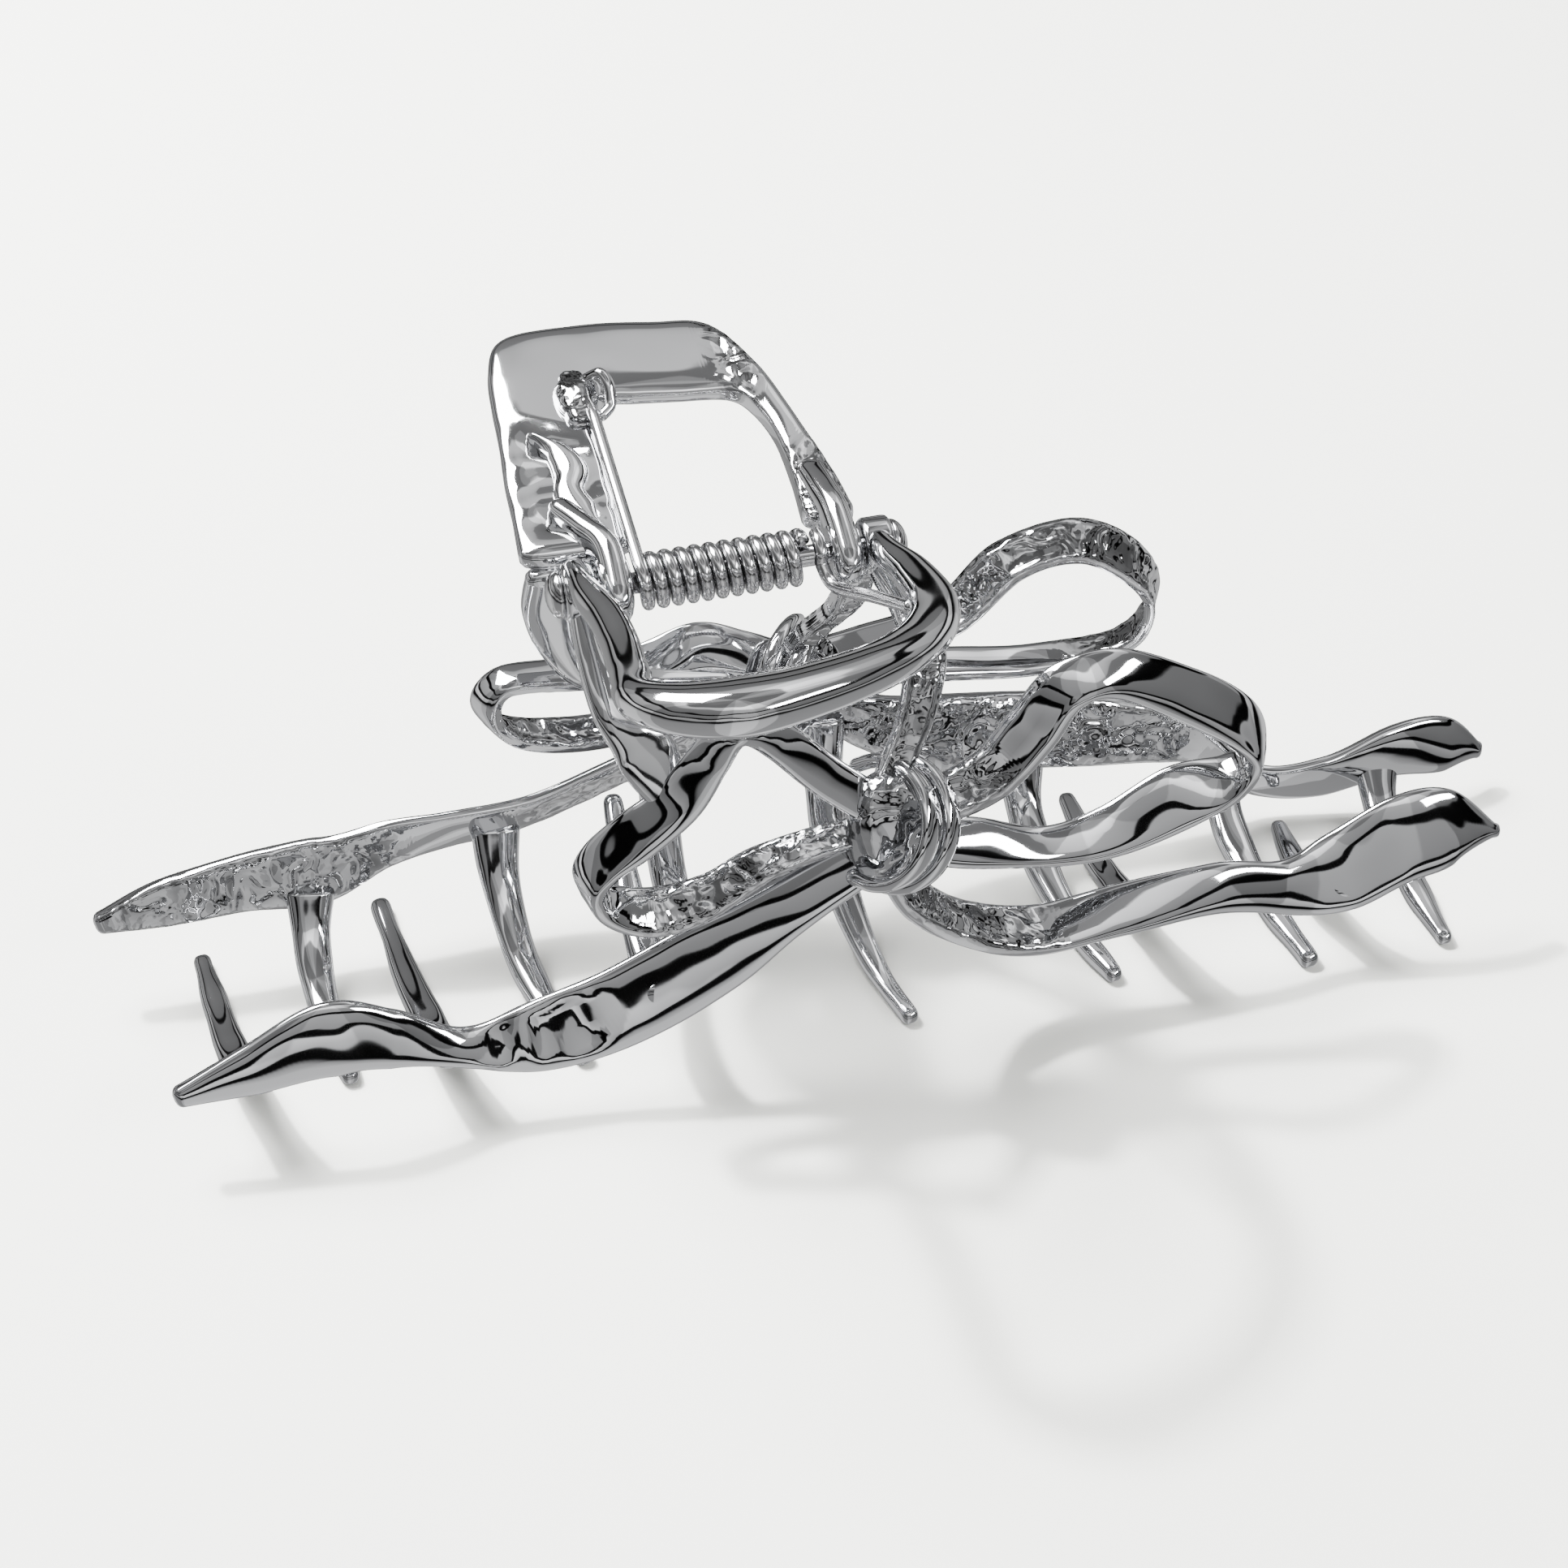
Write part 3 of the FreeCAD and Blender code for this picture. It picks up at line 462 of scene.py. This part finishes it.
# teeth: where each one leaves its ribbon and where its tip's middle is
TIP = FLOOR + TIP_RADIUS
REAR_PRONGS = [
    ((-33.7, 10.8, -33.6), (-33.3, -5.0, TIP)), ((-17.4, 11.6, -30.8), (-14.4, -7.8, TIP)),
    ((-3.0, 11.6, -27.0), (-1.7, -1.5, TIP)), ((10.9, 10.6, -24.2), (12.8, -10.2, TIP)),
    ((29.0, 10.2, -32.0), (30.9, -9.8, TIP)), ((47.2, 8.4, -36.2), (47.5, -12.4, TIP)),
    ((61.4, 6.2, -37.0), (59.7, -12.8, TIP))]
FRONT_PRONGS = [
    ((-40.6, -11.2, -33.4), (-43.4, 12.0, TIP)), ((-24.8, -11.2, -34.6), (-27.6, 15.2, TIP)),
    ((-7.6, -12.0, -31.2), (-7.8, 8.0, -27.4)), ((35.2, -11.6, -32.8), (34.8, 13.4, TIP)),
    ((51.4, -11.8, -33.4), (51.8, 4.6, TIP))]

# stretches of (start, stop, side) where a face is coarse as cast, dented or gathered
CAST = {
    "front_left_tail": [(0.78, 0.97, 1)],
    "front_right_tail": [(0.05, 0.27, 1)],
    "rear_left_tail": [(0.62, 0.96, -1), (0.05, 0.38, -1)],
    "rear_right_tail": [(0.05, 0.52, 1)],
    "front_left_loop": [(0.70, 0.95, 1)],
    "front_right_loop": [(0.72, 0.8, 1), (0.02, 0.1, 1)],
    "rear_left_loop": [(0.02, 0.9, 1)],
    "rear_right_loop": [(0.3, 0.62, -1), (0.2, 0.62, 1)],
    "front_left_leg": [(0.35, 1.0, -1)],
    "front_right_leg": [(0.3, 1.0, 1), (0.3, 1.0, -1)],
    "rear_left_leg": [(0.15, 1.0, -1)],
    "rear_right_leg": [(0.1, 1.0, 1), (0.1, 1.0, -1)],
}
POCKETS = {
    "front_left_tail": [(0.44, 0.55, -1)],
    "rear_left_leg": [(0.1, 0.7, -1)],
}
PLEATS = {
    "front_right_loop": [(0.0, 0.22, 1)],
    "front_left_loop": [(0.0, 0.12, 1), (0.9, 1.0, 1)],
    "rear_right_loop": [(0.05, 0.3, 1)],
    "front_right_tail": [(0.0, 0.2, 1)],
    "front_right_leg": [(0.4, 1.0, 1)],
    "rear_right_leg": [(0.2, 1.0, -1)],
}


def ribbons_and_legs():
    """Loops and tails of the bow, and the legs that join them to the hinge."""
    for table, thickness, material_slot in ((RIBBONS, RIBBON, "ribbon_chrome"), (LEGS, LEG, "handle_chrome")):
        for name, stations in table.items():
            obj = sweep(name + "_cast", [s + (thickness,) for s in stations], ridge=0.3,
                        cast=CAST.get(name, ()), pleats=PLEATS.get(name, ()),
                        pockets=POCKETS.get(name, ()))
            finish_piece(obj, material_slot, name)


# ---- prongs ----
def prong(name, base, tip, sag, cast):
    """Curved tooth from its ribbon, down and then inwards; sag is the height of the curve's corner."""
    base = np.array(base)
    tip = np.array(tip)
    corner = np.array((base[0] - PRONG_BOW, base[1] + (tip[1] - base[1]) * PRONG_INWARD, sag))
    stations = []
    for i in range(PRONG_STEPS + 1):
        t = i / PRONG_STEPS
        place = base * (1 - t) ** 2 + corner * (2 * t * (1 - t)) + tip * t ** 2
        flare = PRONG_FLARE if i == 0 else 1.0
        width = PRONG_WIDTH * (1.15 - 0.6 * t * t) * flare
        stations.append((*place, width, 0.0, 0.0, PRONG_THICKNESS * (1.1 - 0.3 * t)))
    obj = sweep(name + "_cast", stations, steps=8, around=32, flat=3.0, cast=cast,
                ends=(False, True), wobble=0.24, hollow=0.3)
    finish_piece(obj, "prong_chrome", name)


def prongs():
    for half, teeth in (("rear", REAR_PRONGS), ("front", FRONT_PRONGS)):
        for number, (base, tip) in enumerate(teeth, start=1):
            sag = base[2] - SHORT_PRONG_DIP if tip[2] > TIP else tip[2] - PRONG_DIP
            cast = [(0.1, 0.85, -1)] if half == "rear" and number <= ROUGH_REAR_PRONGS else []
            prong("%s_prong_%d" % (half, number), base, tip, sag, cast)


# ---- knots ----
def knot(name, centre, half, lean):
    """Lobed core of a knot, where the ribbons meet; lean is how far it tips along x."""
    around = 40
    rings = 28
    points = []
    for i in range(rings):
        up = -1 + 2 * (i + 0.5) / rings
        side = math.sqrt(max(0.0, 1 - up * up)) ** 0.8
        for k in range(around):
            a = 2 * math.pi * k / around
            lobe = 0.07 * math.cos(3 * a + 2.5 * up) + 0.05 * math.cos(9 * a + 4 * up)
            radius = side * (1 + lobe)
            p = np.array((centre[0] + half[0] * radius * math.cos(a) + lean * up,
                          centre[1] + half[1] * radius * math.sin(a),
                          centre[2] + half[2] * up))
            points.append(p)
    points.append((centre[0] - lean, centre[1], centre[2] - half[2]))
    points.append((centre[0] + lean, centre[1], centre[2] + half[2]))
    faces = [face[::-1] for face in tube_faces(rings, around)]
    # the whole core is coarse at 0.6, so its plating is also darkened in patches by painted shade
    obj = add_mesh(name + "_core", points, faces, [0.6] * len(points))
    finish_piece(obj, "ribbon_chrome", name)


def hoop(name, centre, axis, offset, radius, width, arc):
    """Bright band wrapped round a knot: part of a ring whose axis passes through the centre."""
    axis = unit(np.array(axis, float))
    upward = unit(np.cross(axis, (1.0, 0.0, 0.0)))
    sideways = np.cross(upward, axis)
    stations = []
    for step in range(HOOP_STEPS + 1):
        a = math.radians(arc[0] + (arc[1] - arc[0]) * step / HOOP_STEPS)
        out = sideways * math.cos(a) + upward * math.sin(a)
        place = np.array(centre) + axis * offset + out * radius
        swell = HOOP_END + (1 - HOOP_END) * math.sin(math.pi * step / HOOP_STEPS)
        stations.append((*place, *(axis * width * swell), HOOP_THICKNESS))
    return sweep(name, stations, steps=5, around=28, flat=2.4, wobble=0.03)


def knots():
    knot("front_knot", FRONT_KNOT, (3.7, 2.8, 4.9), 0.5)
    for number, (offset, radius, width) in enumerate(((1.3, 4.9, 2.4), (-1.2, 5.2, 1.9))):
        obj = hoop("front_knot_band_%d" % number, FRONT_KNOT, (-0.70, -0.50, 0.50), offset, radius, width,
                   (-130, 100))
        finish_piece(obj, "ribbon_chrome", "front_knot")
    knot("rear_knot", REAR_KNOT, (3.6, 2.6, 4.7), 0.4)
    for number, offset in enumerate((1.1, -1.1)):
        obj = hoop("rear_knot_band_%d" % number, REAR_KNOT, (-0.80, 0.60, 0.10), offset, 4.6, 2.0, (40, 320))
        finish_piece(obj, "ribbon_chrome", "rear_knot")


# ---- handles ----
def front_handle():
    """Round bar from one front ear, out round the bowed grip and back to the other ear."""
    route = [
        # x, reach, lift, width, depth
        (-10.95, 0.0, 1.2, 2.3, 2.8),
        (-10.9, 4.0, 1.1, 2.4, 2.9),
        (-10.3, 9.0, 0.7, 2.8, 2.9),
        (-10.3, 14.0, 0.3, 2.9, 2.8),
        (-10.7, 19.0, 0.0, 3.0, 2.9),
        (-11.0, 23.8, 0.0, 3.2, 3.1),
        (-8.6, 26.8, 0.0, 4.6, 3.6),
        (-4.6, 28.2, 0.0, 5.6, 4.0),
        (0.8, 27.2, 0.0, 4.9, 3.6),
        (6.2, 24.8, 0.0, 4.2, 3.2),
        (10.6, 20.6, 0.0, 4.0, 3.0),
        (13.0, 15.0, 0.0, 3.8, 2.9),
        (13.3, 8.5, 0.2, 3.2, 2.8),
        (12.75, 4.0, 0.4, 2.3, 2.6),
        (12.65, 0.0, 0.5, 2.2, 2.5),
    ]
    places = [handle_plane(x, reach, lift, FRONT_RISE, -1) for x, reach, lift, _, _ in route]
    square = handle_plane(0, 0, 1, FRONT_RISE, -1)
    last = len(route) - 1
    stations = []
    for i, (place, size) in enumerate(zip(places, route)):
        across = np.cross(square, places[min(i + 1, last)] - places[max(i - 1, 0)])
        across = across / np.linalg.norm(across) * size[3]
        stations.append((*place, *across, size[4]))
    obj = sweep("front_handle_bar", stations, steps=12, around=36, flat=2.4, crown=0.0, wobble=0.05)
    finish_piece(obj, "handle_chrome", "front_handle")


def rear_handle():
    """Flat frame between an outer and an inner edge, and the cast swirl on its left bar."""
    pairs = [
        # outer x and reach, inner x and reach
        (-14.6, 4.2, -5.6, 4.2),
        (-14.3, 10.0, -5.5, 9.0),
        (-13.8, 18.0, -5.5, 15.0),
        (-13.2, 24.4, -5.4, 18.0),
        (-11.4, 28.2, -4.3, 19.7),
        (-5.6, 28.8, -2.0, 19.5),
        (1.0, 28.0, 1.5, 18.9),
        (5.6, 26.5, 5.4, 18.4),
        (8.3, 21.5, 7.0, 16.5),
        (9.9, 15.5, 7.9, 12.9),
        (11.2, 9.5, 8.0, 8.2),
        (11.9, 4.0, 7.7, 4.0),
    ]
    stations = []
    for ox, oreach, ix, ireach in pairs:
        outer = handle_plane(ox, oreach, 0, REAR_RISE, 1)
        inner = handle_plane(ix, ireach, 0, REAR_RISE, 1)
        stations.append((*((outer + inner) / 2), *(outer - inner), REAR_PLATE))
    obj = sweep("rear_handle_frame", stations, steps=16, around=52, flat=5.0, square=False, crown=0.2,
                cast=[(0.66, 0.69, 1), (0.9, 0.99, 1)], pockets=[(0.06, 0.2, 1)], wobble=0.16)
    finish_piece(obj, "handle_chrome", "rear_handle")
    swirl = []
    for x, reach, width in ((-11.0, 15.6, 0.8), (-9.6, 14.0, 2.2), (-9.0, 11.8, 2.8), (-9.6, 9.6, 2.6),
                            (-9.2, 7.4, 3.0), (-8.4, 5.6, 1.4)):
        place = handle_plane(x, reach, REAR_PLATE / 2, REAR_RISE, 1)
        swirl.append((*place, width, 0.0, 0.0, 1.5))
    obj = sweep("rear_handle_swirl", swirl, steps=10, around=32, flat=2.0, wobble=0.1)
    finish_piece(obj, "handle_chrome", "rear_handle")


# ---- ears ----
def ear(name, span, rise, side, lean):
    """Rounded lug about the pin; lean is how far along the pin its cast arm strays, if it has one."""
    left, right = span
    profile = [(left, BORE_RADIUS), (left, EAR_RADIUS - 0.8)]
    for t in (0.0, 0.25, 0.5, 0.75, 1.0):
        profile.append((left + 0.5 * t * t, EAR_RADIUS - 0.5 * (1 - t) ** 2))
    mirrored = [(left + right - x, radius) for x, radius in profile[::-1]]
    obj = lathe(name + "_lug", profile + mirrored, bored=True)
    if lean is not None:
        middle = (left + right) / 2
        stations = []
        for part, lift, width, depth in ((-0.2, 0.4, 2.4, 3.4), (0.3, 0.9, 2.5, 3.8), (0.65, 1.0, 2.4, 2.8),
                                         (1.0, 0.9, 2.2, 1.6)):
            place = handle_plane(middle + lean * max(0.0, part - 0.3), 8.0 * part, lift, rise, side)
            stations.append((*place, width, 0.0, 0.0, depth))
        bar = sweep(name + "_arm", stations, steps=6, around=24, flat=3.0)
        finish_piece(bar, "handle_chrome", name)
    finish_piece(obj, "handle_chrome", name)


def ears():
    ear("front_left_ear", FRONT_LEFT_EAR, FRONT_RISE, -1, None)
    ear("front_right_ear", FRONT_RIGHT_EAR, FRONT_RISE, -1, None)
    ear("rear_left_ear", REAR_LEFT_EAR, REAR_RISE, 1, -3.4)
    ear("rear_right_ear", REAR_RIGHT_EAR, REAR_RISE, 1, -0.6)


# ---- hinge hardware ----
def hinge_pin():
    """Rivet with a domed head at each end."""
    left = FRONT_LEFT_EAR[0] - 0.1
    right = FRONT_RIGHT_EAR[1] + 0.1
    dome = []
    for i in range(9):
        a = math.radians(90 * i / 8)
        dome.append((PIN_HEAD_HEIGHT * math.cos(a), PIN_HEAD_RADIUS * math.sin(a)))
    profile = [(left - x, r) for x, r in dome[1:]]
    profile += [(left + 0.02, PIN_RADIUS + 0.1), (left + 0.1, PIN_RADIUS)]
    profile += [(right - 0.1, PIN_RADIUS), (right - 0.02, PIN_RADIUS + 0.1)]
    profile += [(right + x, r) for x, r in dome[:0:-1]]
    obj = lathe("hinge_pin_rivet", profile)
    finish_piece(obj, "pin_steel", "hinge_pin")


def wire(name, points, sides, around=14):
    """Round wire whose sections are square to its path; sides are directions square to it."""
    points = np.array(points, float)
    run = unit(np.gradient(points, axis=0))
    sides = np.array(sides, float)
    sides = unit(sides - run * (sides * run).sum(axis=1, keepdims=True))
    other = np.cross(run, sides)
    places = []
    for i in range(len(points)):
        for k in range(around):
            a = 2 * math.pi * k / around
            places.append(points[i] + WIRE_RADIUS * (sides[i] * math.cos(a) + other[i] * math.sin(a)))
    places.append(points[0])
    places.append(points[-1])
    faces = tube_faces(len(points), around)
    return add_mesh(name, places, faces)


def torsion_spring():
    """The rear leg along the rear handle, then the coil round the pin."""
    points = []
    sides = []
    lift = handle_plane(0, 0, 1, REAR_RISE, 1)
    for reach in (REAR_LEG_REACH, 16, 12, 8, 5, 3, 1.5):
        points.append(handle_plane(COIL_LEFT, reach, COIL_RADIUS, REAR_RISE, 1))
        sides.append(lift)
    per_turn = 36
    for i in range(COIL_TURNS * per_turn + 1):
        turn = i / per_turn
        a = math.radians(90.0 + REAR_RISE + 360.0 * turn)
        out = np.array((0, math.cos(a), math.sin(a)))
        points.append(out * COIL_RADIUS + np.array((COIL_LEFT + COIL_PITCH * turn, 0, 0)))
        sides.append(out)
    obj = wire("spring_coil", points, sides)
    finish_piece(obj, "spring_wire", "torsion_spring")


def spring_front_leg():
    """Far end of the same wire, which presses on the front handle and turns with it."""
    x = COIL_LEFT + COIL_TURNS * COIL_PITCH + 2.0 * WIRE_RADIUS + LEG_GAP
    points = []
    for angle in (75, 110, 145, 180):
        a = math.radians(angle)
        points.append((x, COIL_RADIUS * math.cos(a), COIL_RADIUS * math.sin(a)))
    points += [(x + 0.6, -3.6, -0.8), (x + 2.2, -8.4, 1.2), (x + 3.6, -13.6, 3.4)]
    points = smoothed(points, 10)
    obj = wire("spring_leg", points, [(1.0, 0.0, 0.0)] * len(points))
    finish_piece(obj, "spring_wire", "spring_front_leg")


def wire_boss():
    """Cast lump that the spring's rear leg tucks into, with a curl of metal over its side."""
    stations = []
    for reach, width, depth in ((17.6, 2.6, 2.0), (18.6, 3.8, 3.0), (20.2, 4.0, 3.2), (21.4, 2.6, 2.0)):
        place = handle_plane(-6.9, reach, 1.3, REAR_RISE, 1)
        stations.append((*place, width, 0.0, 0.0, depth))
    obj = sweep("wire_boss_lump", stations, steps=8, around=32, flat=2.2, cast=[(0.0, 1.0, 1), (0, 1, -1)],
                wobble=0.5)
    finish_piece(obj, "handle_chrome", "wire_boss")
    curl = []
    for x, reach, lift in ((-5.9, 20.6, 2.2), (-4.9, 20.2, 2.9), (-4.4, 19.0, 2.6), (-4.5, 17.8, 1.6),
                           (-5.2, 17.2, 1.2)):
        place = handle_plane(x, reach, lift, REAR_RISE, 1)
        curl.append((*place, *handle_plane(0.0, 0.0, 0.9, REAR_RISE, 1), 0.9))
    obj = sweep("wire_boss_curl", curl, steps=8, around=20, flat=2.0, wobble=0.08)
    finish_piece(obj, "handle_chrome", "wire_boss")


# ---- stage, lights and camera, in metres ----
FLOOR_HALF = 3.0
BACKDROP_RADIUS = 2.9
BACKDROP_TOP = 2.0
BACKDROP_SIDES = 72
WALL_SWAY = 0.09         # how far the studio's grey bands wander up and down
PANEL_REPEATS = 3.0      # how often the panels come round


def stage():
    """Pale paper floor, which is not reflected in the plating."""
    floor = bpy.data.meshes.new("floor")
    corners = [(-FLOOR_HALF, -FLOOR_HALF, 0), (FLOOR_HALF, -FLOOR_HALF, 0),
               (FLOOR_HALF, FLOOR_HALF, 0), (-FLOOR_HALF, FLOOR_HALF, 0)]
    floor.from_pydata(corners, [], [(0, 1, 2, 3)])
    plane = bpy.data.objects.new("floor", floor)
    bpy.context.collection.objects.link(plane)
    material = bpy.data.materials.new("floor_paper")
    n = Nodes(material)
    surface = n.add("ShaderNodeBsdfPrincipled", Roughness=0.9)
    surface.inputs["Base Color"].default_value = (0.87, 0.875, 0.83, 1)
    surface.inputs["Specular IOR Level"].default_value = 0.1
    result = n.add("ShaderNodeOutputMaterial")
    n.link(surface, "BSDF", result, "Surface")
    floor.materials.append(material)
    plane.visible_glossy = False


def backdrop():
    """Plain grey wall round the floor, seen only from low down; it lights nothing and isn't reflected."""
    points = []
    for z in (-0.01, BACKDROP_TOP):
        for k in range(BACKDROP_SIDES):
            a = 2 * math.pi * k / BACKDROP_SIDES
            points.append((BACKDROP_RADIUS * math.cos(a), BACKDROP_RADIUS * math.sin(a), z))
    faces = []
    for k in range(BACKDROP_SIDES):
        after = (k + 1) % BACKDROP_SIDES
        faces.append((k, after, BACKDROP_SIDES + after, BACKDROP_SIDES + k))
    mesh = bpy.data.meshes.new("backdrop")
    mesh.from_pydata(points, [], faces)
    wall = bpy.data.objects.new("backdrop", mesh)
    bpy.context.collection.objects.link(wall)
    material = bpy.data.materials.new("backdrop_paper")
    n = Nodes(material)
    surface = n.add("ShaderNodeEmission", Strength=1.0)
    surface.inputs["Color"].default_value = (0.40, 0.40, 0.39, 1)
    result = n.add("ShaderNodeOutputMaterial")
    n.link(surface, "Emission", result, "Surface")
    mesh.materials.append(material)
    wall.visible_glossy = False
    wall.visible_diffuse = False
    wall.visible_shadow = False


def ramp(n, source, output, stops):
    """Colour ramp of grey levels over the source value."""
    node = n.add("ShaderNodeValToRGB")
    band = node.color_ramp
    while len(band.elements) < len(stops):
        band.elements.new(0.5)
    for element, (place, grey) in zip(band.elements, stops):
        element.position = place
        element.color = (grey, grey, grey, 1)
    n.link(source, output, node, "Fac")
    return node


# grey of the studio by height, from straight down at 0 to straight up at 1
WALLS = ((0.0, 0.80), (0.34, 0.66), (0.39, 0.36), (0.415, 0.005), (0.46, 0.005), (0.466, 0.60), (0.53, 0.95),
         (0.536, 0.005), (0.574, 0.005), (0.580, 0.36), (0.70, 0.48), (0.705, 0.005), (0.742, 0.005),
         (0.748, 0.38), (0.85, 0.52), (0.856, 1.2), (0.91, 2.0), (0.916, 0.42), (0.97, 0.38), (1.0, 0.50))
# how the walls vary all the way round: dark sides, plain stretches and lit panels
PANELS = ((0.0, 0.55), (0.04, 0.55), (0.07, 1.0), (0.75, 1.05), (0.80, 1.5))


def world():
    """Studio surround: pale floor, grey walls with crisp dark gaps and lit panels, bright ceiling."""
    room = bpy.data.worlds.new("studio")
    bpy.context.scene.world = room
    n = Nodes(room)
    place = n.add("ShaderNodeTexCoord")
    split = n.add("ShaderNodeSeparateXYZ")
    n.link(place, "Generated", split, "Vector")
    height = n.add("ShaderNodeMapRange")
    height.inputs["From Min"].default_value = -1.0
    n.link(split, "Z", height, "Value")
    uneven = n.add("ShaderNodeTexNoise", Scale=1.8, Detail=1.0)
    n.link(place, "Generated", uneven, "Vector")
    sway = n.add("ShaderNodeMapRange")
    sway.inputs["To Min"].default_value = -WALL_SWAY
    sway.inputs["To Max"].default_value = WALL_SWAY
    n.link(uneven, "Fac", sway, "Value")
    swayed = n.add("ShaderNodeMath", operation="ADD")
    n.link(height, "Result", swayed, 0)
    n.link(sway, "Result", swayed, 1)
    levels = ramp(n, swayed, "Value", WALLS)
    turn = n.add("ShaderNodeMath", operation="ARCTAN2")
    n.link(split, "Y", turn, 0)
    n.link(split, "X", turn, 1)
    strips = n.add("ShaderNodeMath", operation="MULTIPLY")
    n.link(turn, "Value", strips, 0)
    strips.inputs[1].default_value = PANEL_REPEATS
    wave = n.add("ShaderNodeMath", operation="SINE")
    n.link(strips, "Value", wave, 0)
    panels = ramp(n, wave, "Value", PANELS)
    mixed = n.add("ShaderNodeMix", data_type="RGBA", blend_type="MULTIPLY")
    mixed.inputs["Factor"].default_value = 1.0
    n.link(levels, "Color", mixed, "A")
    n.link(panels, "Color", mixed, "B")
    glow = n.add("ShaderNodeBackground", Strength=0.9)
    n.link(mixed, "Result", glow, "Color")
    result = n.add("ShaderNodeOutputWorld")
    n.link(glow, "Background", result, "Surface")


def area_light(name, place, aim, size, power):
    """Rectangular lamp of that size and power at a place, turned to its aim."""
    light = bpy.data.lights.new(name, "AREA")
    light.shape = "RECTANGLE"
    light.size, light.size_y = size
    light.energy = power
    obj = bpy.data.objects.new(name, light)
    obj.location = place
    obj.rotation_euler = (Vector(aim) - Vector(place)).to_track_quat("-Z", "Y").to_euler()
    bpy.context.collection.objects.link(obj)


def lights():
    """Small key lamp for the crisp shadows, a soft one round it and a weak fill from the front."""
    area_light("key", (-0.25, 0.30, 0.60), (0, 0, 0), (0.05, 0.05), 12.0)
    area_light("soft_key", (-0.25, 0.30, 0.60), (0, 0, 0), (0.40, 0.40), 21.0)
    area_light("fill", (0.5, -0.5, 0.5), (0, 0, 0.02), (0.5, 0.12), 5.0)


CAMERA_TURN = 14.0       # degrees that the camera stands to the left of square-on
CAMERA_RISE = 38.0       # degrees that it looks down
CAMERA_ROLL = -1.0
CAMERA_LENS = 70.0       # millimetres, on a sensor 36 wide
CAMERA_PLACE = (-42.5, -190.6, 131.5)    # millimetres from the hinge centre


def camera():
    turn = math.radians(CAMERA_TURN)
    rise = math.radians(CAMERA_RISE)
    back = Vector((-math.sin(turn) * math.cos(rise), -math.cos(turn) * math.cos(rise), math.sin(rise)))
    right = Vector((math.cos(turn), -math.sin(turn), 0))
    up = back.cross(right)
    roll = math.radians(CAMERA_ROLL)
    right, up = right * math.cos(roll) + up * math.sin(roll), up * math.cos(roll) - right * math.sin(roll)
    data = bpy.data.cameras.new("camera")
    data.lens = CAMERA_LENS
    data.sensor_width = 36.0
    data.clip_start = 0.01
    data.clip_end = 20.0
    obj = bpy.data.objects.new("camera", data)
    turned = Matrix((right, up, back)).transposed().to_4x4()
    obj.matrix_world = Matrix.Translation(HINGE + Vector(CAMERA_PLACE) * MM) @ turned
    bpy.context.collection.objects.link(obj)
    bpy.context.scene.camera = obj


ribbons_and_legs()
prongs()
knots()
front_handle()
rear_handle()
ears()
hinge_pin()
torsion_spring()
spring_front_leg()
wire_boss()
stage()
backdrop()
world()
lights()
camera()
